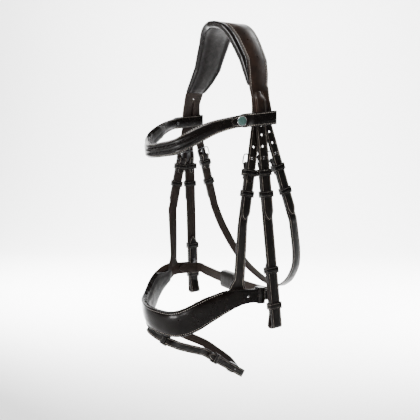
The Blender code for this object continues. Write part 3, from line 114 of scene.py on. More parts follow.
# The three straps of each side: the width, the narrow neck in the buckle, where each leaves the
# browband's loop, its slopes, the buckle's bar and the first hole
LOOP_EDGE_Z = CROWN_TOP - ARCH_DROP
Strap = namedtuple("Strap", "width neck start_y slope_out slope_back bar first_hole")
FRONT = Strap(0.0148, 0.0142, -0.0105, 0.060, -0.169, 0.0534, -1)
CHEEK = Strap(0.0165, 0.0094, -0.0051, 0.080, 0.0713, 0.0522, -2)
THROAT = Strap(0.0140, 0.0134, 0.0087, 0.090, 0.3057, 0.0480, -2)
HOLE_COUNT = 4
BILLET_LENGTH = 0.129
HOLE_PITCH = 0.0156
HOLE_RADIUS = 0.0019

# Buckles, hidden behind their billets
BAR_RADIUS = 0.00125
FRAME_HEIGHT = 0.0145
STUD_BELOW_FRAME = 0.0050
TURN_BACK = 0.0210
FOLD_MERGE = 0.0055
FOLD_RADIUS = BAR_RADIUS + GAP + LEATHER / 2
FOLD_STEPS = 12
NECK_RUN = 0.0080

# Keepers: a fixed one under each buckle and runners further down
KEEPER_WALL = 0.0014
KEEPER_HEIGHT = 0.0090
KEEPER_SIDE_CLEAR = 0.0004
FIXED_KEEPER_DROP = 0.0105
RUNNER_AT = 0.0925

# Cheekpiece end: a folded billet on a hook stud, which carries the bit
BIT_FOLD_AT = 0.2812
BIT_LOOP_INSIDE = 0.0075
BIT_LOOP_HEIGHT = 0.0200
BIT_CORNER = 0.0026
BIT_BILLET_TIP_AT = 0.1830
BIT_RUNNER_AT = 0.1985
BIT_KEEPER_AT = 0.2490
STUD_FLANGE = 0.0008
BIT_PLY_STEP = LEATHER + STUD_FLANGE + 2 * GAP

# Browband: a curved, padded band whose ends wrap the straps and snap shut
BAND_HEIGHT = 0.0190
BAND_DIP = 0.0450
BAND_DEPTH = 0.1205
BAND_PADDING = 0.0060
BAND_RIDGE = 0.0034
LOOP_CLEAR = 0.0008
LOOP_Z = -0.1323
LOOP_TILT = 0.11
LOOP_REAR_CLEAR = 0.0010
LOOP_CORNER = 0.0030
# Half of the band from the middle of the brow to the loop: shares of the half span, the
# depth and the dip, then of the band height
BAND_SHARES = (
    (0.0, 1.0, 1.0, 1.06), (0.128, 0.983, 0.99, 1.06), (0.267, 0.938, 0.945, 1.10),
    (0.405, 0.892, 0.90, 1.14), (0.529, 0.846, 0.82, 1.16), (0.623, 0.784, 0.68, 1.16),
    (0.687, 0.697, 0.53, 1.16), (0.741, 0.614, 0.40, 1.10), (0.805, 0.519, 0.275, 1.0),
    (0.885, 0.415, 0.175, 0.90), (0.954, 0.299, 0.095, 0.86),
)
BAND_PADDING_END_SHARE = 0.60
BAND_RIDGE_END = 0.84
BAND_RIDGE_FADE = 0.45
BAND_SPLIT = 0.0015
LOOP_HEIGHT_SHARE = 0.99
# How far the band's three raised rolls have merged into one, by share of the way to its loop
RIDGE_MERGE_SHARES = ((0.36, 0.0), (0.62, 1.0))
TAB_END_HEIGHT_SHARE = 0.80
TAB_PAST_SNAP = 0.0140
SNAP_SPACE = 0.0022
SNAP_AHEAD = 0.0130
CAP_RADIUS = 0.0069
CAP_SHANK_RADIUS = 0.0020
SOCKET_RADIUS = 0.0045
SOCKET_WALL = 0.0016

# Noseband: wide over the nose, narrow at its rear ends
NOSE_HALF_SPAN = 0.1110
NOSE_FRONT_Y = -0.1210
NOSE_DEPTH = 0.1220
NOSE_REAR_Z = -0.3770
NOSE_DIP = 0.0450
NOSE_HEIGHT = 0.0380
NOSE_TILT = -0.20
NOSE_PADDING = 0.0070
NOSE_CROWN = 0.0026
NOSE_WELT = 0.0011
# Half of the noseband from the middle of the nose to its rear end, as the browband's
NOSE_SHARES = (
    (0.0, 0.0, 1.0, 1.0), (0.144, 0.012, 1.0, 1.0), (0.27, 0.041, 1.0, 1.0),
    (0.384, 0.078, 0.989, 1.0), (0.49, 0.131, 0.940, 1.0), (0.576, 0.197, 0.850, 1.0),
    (0.667, 0.27, 0.690, 0.97), (0.753, 0.352, 0.490, 0.94), (0.833, 0.451, 0.290, 0.89),
    (0.902, 0.571, 0.110, 0.80), (0.951, 0.664, 0.022, 0.68), (0.989, 0.746, -0.022, 0.58),
)
NOSE_FLAT_SHARE = 0.60
NOSE_FULL_SHARE = 0.92
NOSE_END_HEIGHT = 0.0195
NOSE_END_LENGTH = 0.0325
NOSE_PADDING_END_Y = -0.0395
HANGER_STRAIGHT = 0.1365
STRAIGHT_TAIL = 0.006
HANGER_SEAT_Y = -0.0320
HANGER_SEAT_DEPTH = 0.004
HANGER_SEAT_SINK = 0.0030
HANGER_FLARE = 0.013

# Chin strap with its sliding pad
CHIN_SLOPE_OUT = 0.050
CHIN_SLOPE_DOWN = 0.030
CHIN_WIDTH = 0.0160
CHIN_NECK = 0.0115
CHIN_BAR = 0.0168
CHIN_KEEPER_DROP = 0.0110
CHIN_KEEPER_HEIGHT = 0.0105
CHIN_BACK_Y = 0.0175
CHIN_CORNER = 0.0075
CHIN_SAG_Z = -0.3800
CHIN_END_LAP = 0.0240
CHIN_PAD_LENGTH = 0.0480
CHIN_PAD_HEIGHT = 0.0270
CHIN_PAD_FRONT = 0.0075
CHIN_PAD_BACK = 0.0030
CHIN_SLOT_CLEAR = 0.0006

# Throatlatch: the lowest point of its curve and how it spreads
THROAT_STRAIGHT = 0.1365
THROAT_LOW_Z = -0.3938
THROAT_LOW_Y = 0.0955
# Shares of the spread, then of the run back and down from the end of the straight stretch
THROAT_SHARES = ((0.947, 0.193, 0.230), (0.886, 0.357, 0.395), (0.792, 0.522, 0.568),
                 (0.671, 0.639, 0.7005), (0.516, 0.762, 0.822), (0.344, 0.880, 0.913),
                 (0.172, 0.970, 0.978))

# Flash strap: a closed loop of narrow strap, hung from a leather loop under the noseband
FLASH_WIDTH = 0.0125
FLASH_LEAD = (0.0, -0.5, -0.866)
FLASH_HANG_BACK = 0.0175
FLASH_HANG_DROP = 0.0165
FLASH_RING_LENGTH = 0.0140
FLASH_BACK = 0.1520
FLASH_DROP = 0.0905
# The near run starts at the rear end: its direction, buckle bar, keeper and billet tip
FLASH_ALONG = (0.078, -0.834, 0.551)
FLASH_NECK = 0.0100
FLASH_BAR = 0.0260
FLASH_TURN_BACK = 0.0160
FLASH_KEEPER_AT = 0.0600
FLASH_TIP_AT = 0.0760
FLASH_STRAIGHT = 0.0790
# The run from the keeper through the hung loop and back on the far side, as shares of the
# strap's length back from the hung loop, of its drop, and of the bulge to the side
FLASH_BULGE = 0.0460
FLASH_NEAR_SHARES = ((0.40, 0.316, 0.13), (0.17, 0.153, 0.21), (0.045, 0.034, 0.315),
                     (0.013, 0.009, 0.276))
FLASH_FAR_SHARES = (
    (-0.02, -0.02, -0.42), (-0.055, -0.09, -0.78), (-0.035, -0.14, -0.97),
    (0.06, -0.14, -0.98), (0.20, -0.05, -0.80), (0.37, 0.106, -0.56), (0.568, 0.29, -0.41),
    (0.725, 0.505, -0.31), (0.871, 0.726, -0.24),
)


Frame = namedtuple("Frame", "origin along across out")


def clamp(value):
    return min(max(value, 0.0), 1.0)


def ease(t):
    """A share from 0 to 1 that starts and ends gently."""
    t = clamp(t)
    return t * t * (3 - 2 * t)


def at(frame, across, out):
    """A point beside a frame's origin, by its distances along the width and outwards."""
    return frame.origin + frame.across * across + frame.out * out


def square_to(lead, along):
    return (lead - along * lead.dot(along)).normalized()


class Path:
    """A polyline with a width direction, read by the distance along it."""

    def __init__(self, points, lead, later_leads=()):
        """The lead sets the width's direction. Later ones take over at shares of the length."""
        self.points = [Vector(point) for point in points]
        self.leads = [(0.0, Vector(lead))]
        self.leads += [(share, Vector(later)) for share, later in later_leads]
        self.marks = [0.0]
        for first, second in zip(self.points, self.points[1:]):
            self.marks.append(self.marks[-1] + (second - first).length)
        self.length = self.marks[-1]

    def direction(self, index):
        before = self.points[max(index - 1, 0)]
        after = self.points[min(index + 1, len(self.points) - 1)]
        middle = self.points[index]
        total = Vector()
        for step in (middle - before, after - middle):
            if step.length > 0:
                total += step.normalized()
        return total.normalized()

    def frame(self, distance):
        last = len(self.marks) - 2
        index = 0
        while index < last and self.marks[index + 1] < distance:
            index += 1
        span = self.marks[index + 1] - self.marks[index]
        share = (distance - self.marks[index]) / span
        origin = self.points[index].lerp(self.points[index + 1], share)
        blend = clamp(share)
        along = self.direction(index).lerp(self.direction(index + 1), blend).normalized()
        across = square_to(self.lead_at(distance / self.length), along)
        return Frame(origin, along, across, along.cross(across))

    def lead_at(self, share):
        for (start, lead), (end, following) in zip(self.leads, self.leads[1:]):
            if share < end:
                return lead.lerp(following, max((share - start) / (end - start), 0.0))
        return self.leads[-1][1]

    def distance_at_y(self, y):
        """The distance along the left half where the path reaches a given Y."""
        start = len(self.points) // 2
        for index in range(start, len(self.points) - 1):
            low = self.points[index].y
            high = self.points[index + 1].y
            if high >= y:
                share = (y - low) / (high - low)
                return self.marks[index] + (self.marks[index + 1] - self.marks[index]) * share
        return self.length


class Line:
    """A straight strap run: its start, the way along it, its width and its outer side."""

    def __init__(self, start, along, lead):
        self.start = Vector(start)
        self.along = Vector(along).normalized()
        self.across = square_to(Vector(lead), self.along)
        self.out = self.along.cross(self.across)

    def point(self, distance, across=0.0, out=0.0):
        offset = self.along * distance + self.across * across + self.out * out
        return self.start + offset

    def frame(self, distance, out=0.0):
        return Frame(self.point(distance, 0.0, out), self.along, self.across, self.out)

    def path(self, pairs):
        """A path in the plane of the run, from pairs of distance and outward offset."""
        return Path([self.point(distance, 0.0, out) for distance, out in pairs], self.across)


def spline(before, start, end, after, t):
    """A value on a Catmull-Rom curve from the start to the end."""
    return (start * 2 + (end - before) * t + (before * 2 - start * 5 + end * 4 - after) * t ** 2
            + (start * 3 - before - end * 3 + after) * t ** 3) / 2


def smooth(points, steps):
    """A smooth curve through the points."""
    points = [Vector(point) for point in points]
    ends = [points[0] * 2 - points[1]] + points + [points[-1] * 2 - points[-2]]
    curve = []
    for row in zip(ends, ends[1:], ends[2:], ends[3:]):
        curve += [spline(*row, step / steps) for step in range(steps)]
    curve.append(points[-1])
    return curve


def rounded(points, steps):
    """A smooth closed outline through the points, as pairs."""
    closed = [Vector(point) for point in (points[-1], *points, points[0], points[1])]
    outline = []
    for row in zip(closed, closed[1:], closed[2:], closed[3:]):
        outline += [spline(*row, step / steps) for step in range(steps)]
    return outline


def read_table(table, key, column):
    """A value between the rows of a table, whose first column rises."""
    if key <= table[0][0]:
        return table[0][column]
    for low, high in zip(table, table[1:]):
        if key <= high[0]:
            share = (key - low[0]) / (high[0] - low[0])
            return low[column] + (high[column] - low[column]) * share
    return table[-1][column]


def arc(radius, start, end, steps):
    """Points of an arc about zero, as pairs, by angles in degrees."""
    angles = [math.radians(start + (end - start) * step / steps) for step in range(steps + 1)]
    return [(radius * math.cos(angle), radius * math.sin(angle)) for angle in angles]


def flip(place):
    return Vector((-place[0], place[1], place[2]))


def mirrored(half):
    """The points of both sides, from those of the left side."""
    return [flip(point) for point in reversed(half[1:])] + half


def side_name(name, side):
    return name + ("_left" if side > 0 else "_right")


def body_at(body, side):
    return body if body in WHOLE_BODIES else side_name(body, side)


def strap_line(spec, layer):
    start = (ARCH_HALF_SPAN + layer, spec.start_y, LOOP_EDGE_Z)
    return Line(start, (spec.slope_out, spec.slope_back, -1.0), (0.0, 1.0, 0.0))


LINES = {
    "front": strap_line(FRONT, 0.0),
    "cheek": strap_line(CHEEK, LEATHER + LAYER_GAP),
    "throat": strap_line(THROAT, 0.0),
}
SPECS = {"front": FRONT, "cheek": CHEEK, "throat": THROAT}
# The body that each strap swings with, and the bodies that carry both sides
BODY_OF = {"front": "noseband", "cheek": "cheek", "throat": "throatlatch"}
WHOLE_BODIES = ("noseband", "throatlatch")


def arch_path():
    half = [Vector((ARCH_HALF_SPAN * x, 0.0, CROWN_TOP - ARCH_DROP * z)) for x, z in ARCH_SHARES]
    return Path(smooth(mirrored(half), 4), (0.0, 1.0, 0.0))


ARCH = arch_path()
ARCH_HALF = ARCH.length / 2
TAIL_END = ARCH_HALF - FRONT.width / 2 - GAP


def crown_edges(share):
    """The crown's front and rear edges at a share of the way down the arch."""
    front = CROWN_WIDTH * read_table(CROWN_EDGE_SHARES, share, 1)
    rear = CROWN_WIDTH * read_table(CROWN_EDGE_SHARES, share, 2)
    last = CROWN_EDGE_SHARES[-1][0]
    blend = clamp((share - last) / (TAILS_WIDE_SHARE - last))
    front += (FRONT.start_y - FRONT.width / 2 - front) * blend
    rear += (THROAT.start_y + THROAT.width / 2 - rear) * blend
    return front, rear


def leather_edges(share):
    front, rear = crown_edges(share)
    width = rear - front
    front += width * read_table(ROLL_SHARES, share, 1)
    return front, rear - width * read_table(ROLL_SHARES, share, 2)



def stud_place(spec):
    return spec.bar - FRAME_HEIGHT + STUD_BELOW_FRAME



def band_z(y):
    return LOOP_Z + LOOP_TILT * (y - CHEEK.start_y)


WALL_X = ARCH_HALF_SPAN - LEATHER - LOOP_CLEAR
TAB_X = ARCH_HALF_SPAN + LEATHER * 1.5 + LAYER_GAP + LOOP_CLEAR
TURN_Y = THROAT.start_y + THROAT.width / 2 + LOOP_REAR_CLEAR


def band_path():
    """From the right loop's split over the brow to the left loop's split."""
    half = [Vector((WALL_X * x, -BAND_DEPTH * y, LOOP_Z - BAND_DIP * dip))
            for x, y, dip, _ in BAND_SHARES]
    front_y = FRONT.start_y - FRONT.width / 2
    half.append(Vector((WALL_X, front_y, band_z(front_y))))
    curve = smooth(mirrored(half), 3)
    count = len(curve) // 2
    left = curve[count:]
    outer = TAB_X + TAB_LEATHER / 2
    corner = TURN_Y + LEATHER / 2 - LOOP_CORNER
    for middle, start in ((WALL_X + LOOP_CORNER, 180), (outer - LOOP_CORNER, 90)):
        for x, y in arc(LOOP_CORNER, start, start - 90, 3):
            left.append(Vector((middle + x, corner + y, band_z(corner + y))))
    corner -= BAND_SPLIT
    left.append(Vector((outer, corner, band_z(corner))))
    return Path(mirrored(left), (0.0, 0.0, 1.0))


BAND = band_path()
BAND_HALF = BAND.length / 2


def band_rows():
    """Distance from the middle, height, how proud the rolls stand and how far they merge."""
    rows = []
    start = len(BAND.points) // 2
    last = len(BAND_SHARES) - 1
    for index, (*_, height) in enumerate(BAND_SHARES):
        distance = BAND.marks[start + index * 3] - BAND_HALF
        share = clamp((BAND_RIDGE_END - index / last) / BAND_RIDGE_FADE)
        merge = read_table(RIDGE_MERGE_SHARES, index / last, 1)
        rows.append((distance, BAND_HEIGHT * height, BAND_RIDGE * share ** 0.5, merge))
    for index in range(start + last * 3 + 3, len(BAND.points)):
        rows.append((BAND.marks[index] - BAND_HALF, BAND_HEIGHT * LOOP_HEIGHT_SHARE, 0.0, 1.0))
    return rows


def both_ways(rows):
    """Rows of a symmetric strap, from its right end to its left end."""
    return [(-row[0], *row[1:]) for row in reversed(rows[1:])] + list(rows)


def pad_rows(rows, end, edge):
    """A pad's rows up to an end, with the last one drawn in."""
    inside = [row for row in rows if row[0] <= end]
    pad = [(row[0], -row[1] / 2 + edge, row[1] / 2 - edge, 1.0) for row in inside]
    distance, low, high, _ = pad[-1]
    pad[-1] = (distance, low * PAD_END_SHARES[0], high * PAD_END_SHARES[0], PAD_END_SHARES[1])
    return pad


def snap_distance():
    """Where the snap sits: ahead of the front strap by a fixed distance."""
    front_y = FRONT.start_y - FRONT.width / 2 - SNAP_AHEAD
    return BAND.distance_at_y(front_y) - BAND_HALF


def snap_frame(side):
    frame = BAND.frame(BAND_HALF + snap_distance())
    if side > 0:
        return frame
    return Frame(flip(frame.origin), flip(frame.along), flip(frame.across), flip(frame.out))


def tab_path():
    """From the hinge at the loop's split forward, and in to the band's face."""
    start = BAND.points[-1]
    front_y = FRONT.start_y - FRONT.width / 2
    points = [start - Vector((0.0, GAP, 0.0)), Vector((start.x, front_y, band_z(front_y)))]
    out = LEATHER / 2 + SNAP_SPACE + TAB_LEATHER / 2
    snap = snap_frame(1)
    points += [at(snap, 0.0, out) + snap.along * CAP_RADIUS * ahead for ahead in (1.4, 0.9, 0.0)]
    bend = smooth(points[1:], 3)
    end = at(snap, 0.0, out) - snap.along * TAB_PAST_SNAP
    return Path([points[0]] + bend + [end], (0.0, 0.0, 1.0))


TAB = tab_path()


def nose_place(x, y, dip, _):
    return Vector((NOSE_HALF_SPAN * x, NOSE_FRONT_Y + NOSE_DEPTH * y,
                   NOSE_REAR_Z - NOSE_DIP * dip))


NOSE_REAR = nose_place(*NOSE_SHARES[-1])
LINES["chin"] = Line(NOSE_REAR, (CHIN_SLOPE_OUT, 1.0, -CHIN_SLOPE_DOWN), (0.0, 0.0, 1.0))


def nose_path():
    half = [nose_place(*row) for row in NOSE_SHARES]
    half.append(LINES["chin"].point(NOSE_END_LENGTH))
    return Path(smooth(mirrored(half), 3), (0.0, NOSE_TILT, 1.0))


NOSE = nose_path()
NOSE_HALF = NOSE.length / 2


def nose_rows():
    """Distance from the middle, height and how far the welts and padded face stand out."""
    rows = []
    start = len(NOSE.points) // 2
    for index, (*_, height) in enumerate(NOSE_SHARES):
        distance = NOSE.marks[start + index * 3] - NOSE_HALF
        swell = (height - NOSE_FLAT_SHARE) / (NOSE_FULL_SHARE - NOSE_FLAT_SHARE)
        rows.append((distance, NOSE_HEIGHT * height, clamp(swell)))
    end = NOSE_END_HEIGHT
    last = NOSE.length - NOSE_HALF
    rows.append((last - NOSE_END_LENGTH * 0.7, end, 0.0))
    rows += [(last - end * back, end * share, 0.0)
             for back, share in ((0.30, 1.0), (0.14, 0.86), (0.04, 0.62), (0.0, 0.44))]
    return rows


def nose_height(distance):
    return read_table(nose_rows(), distance - NOSE_HALF, 1)


NOSE_MIDDLE = NOSE.frame(NOSE_HALF)
FLASH_HINGE = at(NOSE_MIDDLE, -NOSE_HEIGHT / 2 - 4 * GAP, -STEP / 2)
FLASH_RING = FLASH_HINGE + Vector((0.0, FLASH_HANG_BACK, -FLASH_HANG_DROP))
FLASH_END = Vector((0.0, FLASH_HINGE.y + FLASH_BACK, FLASH_HINGE.z - FLASH_DROP))
LINES["flash"] = Line(FLASH_END, FLASH_ALONG, FLASH_LEAD)
LINES["ring"] = Line(FLASH_RING, (-1.0, 0.0, 0.0), LINES["flash"].across)


def flash_place(back, down, aside):
    run = FLASH_END - FLASH_RING
    return FLASH_RING + Vector((FLASH_BULGE * aside, run.y * back, run.z * down))


# Meshes of the dressed pieces. Each point carries its distance from the leather's edge, in
# metres, and its side: 1 for the outside, 0 for behind.
EDGE_ROUND = 0.0011
CREASE_AT = 0.0022
CREASE_HALF = 0.0003
CREASE_DEPTH = 0.00022
CREASED_WIDTH = 0.010
PLAIN_EDGE = 0.003
HEXAGON = arc(1.0, 0, 360, 6)[:-1]


def refined(rows, step=0.003):
    """The rows with more put between them along straight lines."""
    fine = [tuple(rows[0])]
    for first, second in zip(rows, rows[1:]):
        count = max(1, math.ceil((second[0] - first[0]) / step - 0.01))
        for n in range(1, count + 1):
            t = n / count
            fine.append(tuple(a + (b - a) * t for a, b in zip(first, second)))
    return fine


def spread(start, end, step):
    """Evenly spaced shares, about a step apart."""
    count = max(1, math.ceil((end - start) / step - 0.01))
    return [start + (end - start) * n / count for n in range(count + 1)]


class Skin:
    """Lofts gathered into one mesh."""

    def __init__(self):
        self.points = []
        self.faces = []
        self.slots = []
        self.edges = []
        self.sides = []

    def loft(self, sections, closed=False, caps=True, slots=None):
        """Sections are rings of (point, edge distance, side)."""
        start = len(self.points)
        size = len(sections[0])
        for section in sections:
            for point, edge, side in section:
                self.points.append(tuple(point))
                self.edges.append(edge)
                self.sides.append(side)
        count = len(sections)
        for row in range(count if closed else count - 1):
            here = start + row * size
            after = start + ((row + 1) % count) * size
            for index in range(size):
                following = (index + 1) % size
                self.faces.append((here + index, here + following,
                                   after + following, after + index))
                self.slots.append(slots[index] if slots else 0)
        if caps and not closed:
            for row in (0, count - 1):
                self.faces.append(tuple(start + row * size + index for index in range(size)))
                self.slots.append(0)

    def all_outside(self):
        """Give the back the outside's finish."""
        self.sides = [1.0] * len(self.sides)

    def object(self, name, materials, smooth_angle=50):
        mesh = bpy.data.meshes.new(name)
        mesh.from_pydata(self.points, [], self.faces)
        for material in materials:
            mesh.materials.append(material)
        mesh.polygons.foreach_set("material_index", self.slots)
        for attribute, values in (("edge_distance", self.edges), ("side", self.sides)):
            mesh.attributes.new(attribute, "FLOAT", "POINT").data.foreach_set("value", values)
        bm = bmesh.new()
        bm.from_mesh(mesh)
        bmesh.ops.recalc_face_normals(bm, faces=bm.faces[:])
        bm.to_mesh(mesh)
        bm.free()
        mesh.polygons.foreach_set("use_smooth", [True] * len(mesh.polygons))
        mesh.set_sharp_from_angle(angle=math.radians(smooth_angle))
        obj = bpy.data.objects.new(name, mesh)
        bpy.context.scene.collection.objects.link(obj)
        return obj


def strap_profile(low, high, back, face):
    """A strap's outline with rounded edges and a shallow crease beside each edge."""
    scale = min(1.0, (high - low) / CREASED_WIDTH)
    edge = min(EDGE_ROUND, (face - back) * 0.42) * scale
    rim = [(edge * 0.03, edge * 0.74, 0.5), (edge * 0.36, edge * 0.23, 0.8), (edge, 0.0, 1.0)]
    crease = [((CREASE_AT + beside) * scale, drop * scale, 1.0) for beside, drop in
              ((-CREASE_HALF, 0.0), (0.0, CREASE_DEPTH), (CREASE_HALF, 0.0))]
    half = (high - low) / 2
    top = rim + crease
    points = [(low + inset, face - drop, inset, side) for inset, drop, side in top]
    points.append((low + half, face, half, 1.0))
    points += [(high - inset, face - drop, inset, side) for inset, drop, side in reversed(top)]
    points += [(high - inset, back + drop, inset, 1.0 - side) for inset, drop, side in rim]
    points.append((low + half, back, half, 0.0))
    points += [(low + inset, back + drop, inset, 1.0 - side)
               for inset, drop, side in reversed(rim)]
    return points


def section_at(frame, profile):
    return [(at(frame, across, out), edge, side) for across, out, edge, side in profile]


def disc_at(frame, out, radius, sides, edge, side):
    """A round section square to a frame's outward direction."""
    centre = frame.origin + frame.out * out
    return [(centre + frame.along * x + frame.across * y, edge, side)
            for x, y in arc(radius, 0, 360, sides)[:-1]]


def strip(skin, path, rows, thickness=LEATHER, step=0.003):
    """A strap along a path, with rows of distance and the two edges."""
    skin.loft([section_at(path.frame(distance),
                          strap_profile(low, high, -thickness / 2, thickness / 2))
               for distance, low, high in refined(rows, step)])


def round_tip(end, width):
    """Rows of a pointed strap end with its corners eased."""
    shares = ((0.80, 1.0), (0.62, 0.93), (0.45, 0.82), (0.30, 0.67), (0.17, 0.48),
              (0.08, 0.31), (0.02, 0.17), (0.0, 0.10))
    return [(end - width * back, -width * share / 2, width * share / 2)
            for back, share in shares]


def seam(path, rows, face=1):
    """A line for stitches, from distances along a path, places across it and heights."""
    line = []
    for mark, across, out in rows:
        here = path.frame(mark)
        line.append((at(here, across, out), here.out * face))
    return line


def stitch(middle, along, out, length, radius):
    """Sections of one stitch, thin at its ends and slightly askew."""
    beside = out.cross(along).normalized()
    along = (along + beside * 0.10).normalized()
    sections = []
    for reach, size in ((-0.5, 0.25), (-0.38, 0.8), (0.0, 1.0), (0.38, 0.8), (0.5, 0.25)):
        centre = middle + along * (length * reach) - out * (radius * (0.9 - size * 0.9))
        sections.append([(centre + (beside * x + out * y) * radius * size, 0.0, 1.0)
                         for x, y in HEXAGON])
    return sections


def thread(name, lines, body, radius=0.00042, pitch=0.0042, length=0.0030):
    """Rows of stitches. Each line is a list of (point, outward direction) along the seam."""
    skin = Skin()
    for line in lines:
        marks = [0.0]
        for (first, _), (second, _) in zip(line, line[1:]):
            marks.append(marks[-1] + (second - first).length)
        count = int(marks[-1] / pitch)
        index = 0
        for number in range(count):
            middle = (number + 0.5) * marks[-1] / count
            while index < len(marks) - 2 and marks[index + 1] < middle:
                index += 1
            share = (middle - marks[index]) / (marks[index + 1] - marks[index])
            (start, start_out), (end, end_out) = line[index:index + 2]
            skin.loft(stitch(start.lerp(end, share), (end - start).normalized(),
                             start_out.lerp(end_out, share).normalized(), length, radius))
    obj = skin.object(name, [THREAD])
    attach(obj, body)


def dress(node):
    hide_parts(node)


def place(obj, body, node, slot="strap_leather", pad=None):
    """Fix a finished piece to its body, in place of its CAD node."""
    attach(obj, body)
    dress(node)


def twin(obj):
    """A mirror image of a left piece."""
    mesh = obj.data.copy()
    mesh.transform(Matrix.Scale(-1, 4, (1, 0, 0)))
    mesh.flip_normals()
    other = bpy.data.objects.new(obj.name + "_far", mesh)
    bpy.context.scene.collection.objects.link(other)
    return other


def place_both(obj, body, node, slot="strap_leather"):
    """Fix a left piece and its mirror image, each to its own side's body and node."""
    for piece, side in ((obj, 1), (twin(obj), -1)):
        place(piece, body_at(body, side), side_name(node, side), slot)


def thread_both(name, lines, body, **sizes):
    """Stitches on the left and their mirror image."""
    thread(name, lines, body_at(body, 1), **sizes)
    flipped = [[(flip(point), flip(out)) for point, out in line] for line in lines]
    thread(name + "_far", flipped, body_at(body, -1), **sizes)


# Materials
class Surface:
    """A node material built around one Principled shader."""

    def __init__(self, name, roughness=0.5, metallic=0.0, specular=0.5, coat=0.0,
                 coat_rough=0.2, sheen=0.0):
        self.material = bpy.data.materials.new(name)
        self.material.use_nodes = True
        self.tree = self.material.node_tree
        self.shader = self.tree.nodes["Principled BSDF"]
        for socket, value in (("Roughness", roughness), ("Metallic", metallic),
                              ("Specular IOR Level", specular), ("Coat Weight", coat),
                              ("Coat Roughness", coat_rough), ("Sheen Weight", sheen)):
            self.shader.inputs[socket].default_value = value

    def node(self, kind, settings=(), **inputs):
        made = self.tree.nodes.new(kind)
        for key, value in dict(settings).items():
            setattr(made, key, value)
        for key, value in inputs.items():
            self.feed(made.inputs[key], value)
        return made

    def feed(self, socket, value):
        if isinstance(value, bpy.types.NodeSocket):
            self.tree.links.new(value, socket)
        elif isinstance(value, tuple):
            socket.default_value = (*value, 1.0)
        else:
            socket.default_value = value

    def math(self, operation, first, second=0.0):
        made = self.node("ShaderNodeMath", {"operation": operation})
        self.feed(made.inputs[0], first)
        self.feed(made.inputs[1], second)
        return made.outputs[0]

    def times(self, first, second):
        return self.math("MULTIPLY", first, second)

    def blend(self, first, second, share):
        """A sum of two values, the first weighted by its share."""
        return self.math("ADD", self.times(first, share), self.times(second, 1 - share))

    def coordinates(self):
        return self.node("ShaderNodeTexCoord").outputs["Object"]

    def attribute(self, name):
        return self.node("ShaderNodeAttribute", {"attribute_name": name}).outputs["Fac"]

    def noise(self, where, scale, detail, rough=0.6, distortion=0.0):
        made = self.node("ShaderNodeTexNoise", Scale=scale, Detail=detail, Roughness=rough,
                         Distortion=distortion, Vector=where)
        return made.outputs["Fac"]

    def cells(self, where, scale):
        made = self.node("ShaderNodeTexVoronoi", {"feature": "DISTANCE_TO_EDGE"}, Scale=scale,
                         Vector=where)
        return made.outputs["Distance"]

    def grey(self, value, *stops):
        """A value mapped by a ramp, from two stops of position and level."""
        made = self.node("ShaderNodeValToRGB", Fac=value)
        for element, (position, level) in zip(made.color_ramp.elements, stops):
            element.position = position
            element.color = (level, level, level, 1.0)
        return made.outputs[0]

    def mix(self, share, first, second):
        made = self.node("ShaderNodeMix", {"data_type": "RGBA"})
        for index, value in ((0, share), (6, first), (7, second)):
            self.feed(made.inputs[index], value)
        return made.outputs[2]

    def line(self, value, centre, width):
        """1 on a line where a value meets a centre, falling to 0 beside it."""
        away = self.math("ABSOLUTE", self.math("SUBTRACT", value, centre))
        near = self.math("SUBTRACT", 1.0, self.math("DIVIDE", away, width))
        return self.math("MAXIMUM", near, 0.0)

    def bump(self, height, distance, strength, below=None):
        made = self.node("ShaderNodeBump", Strength=strength, Distance=distance, Height=height)
        if below is not None:
            self.feed(made.inputs["Normal"], below)
        return made.outputs[0]

    def finish(self, colour, roughness, normal):
        for socket, value in (("Base Color", colour), ("Roughness", roughness),
                              ("Normal", normal)):
            if value is not None:
                self.feed(self.shader.inputs[socket], value)
        return self.material


# The light line at the very edge is partly wear and partly painted highlight; the light colour
# along the creases is a painted highlight.
EDGE_WEAR_AND_HIGHLIGHT_LINE = 0.0005
CREASE_LINE = 0.00055
CREASE_HIGHLIGHT_COLOUR = (0.50, 0.44, 0.38)
BACK_ROUGH = (0.78, 0.78, 0.78)


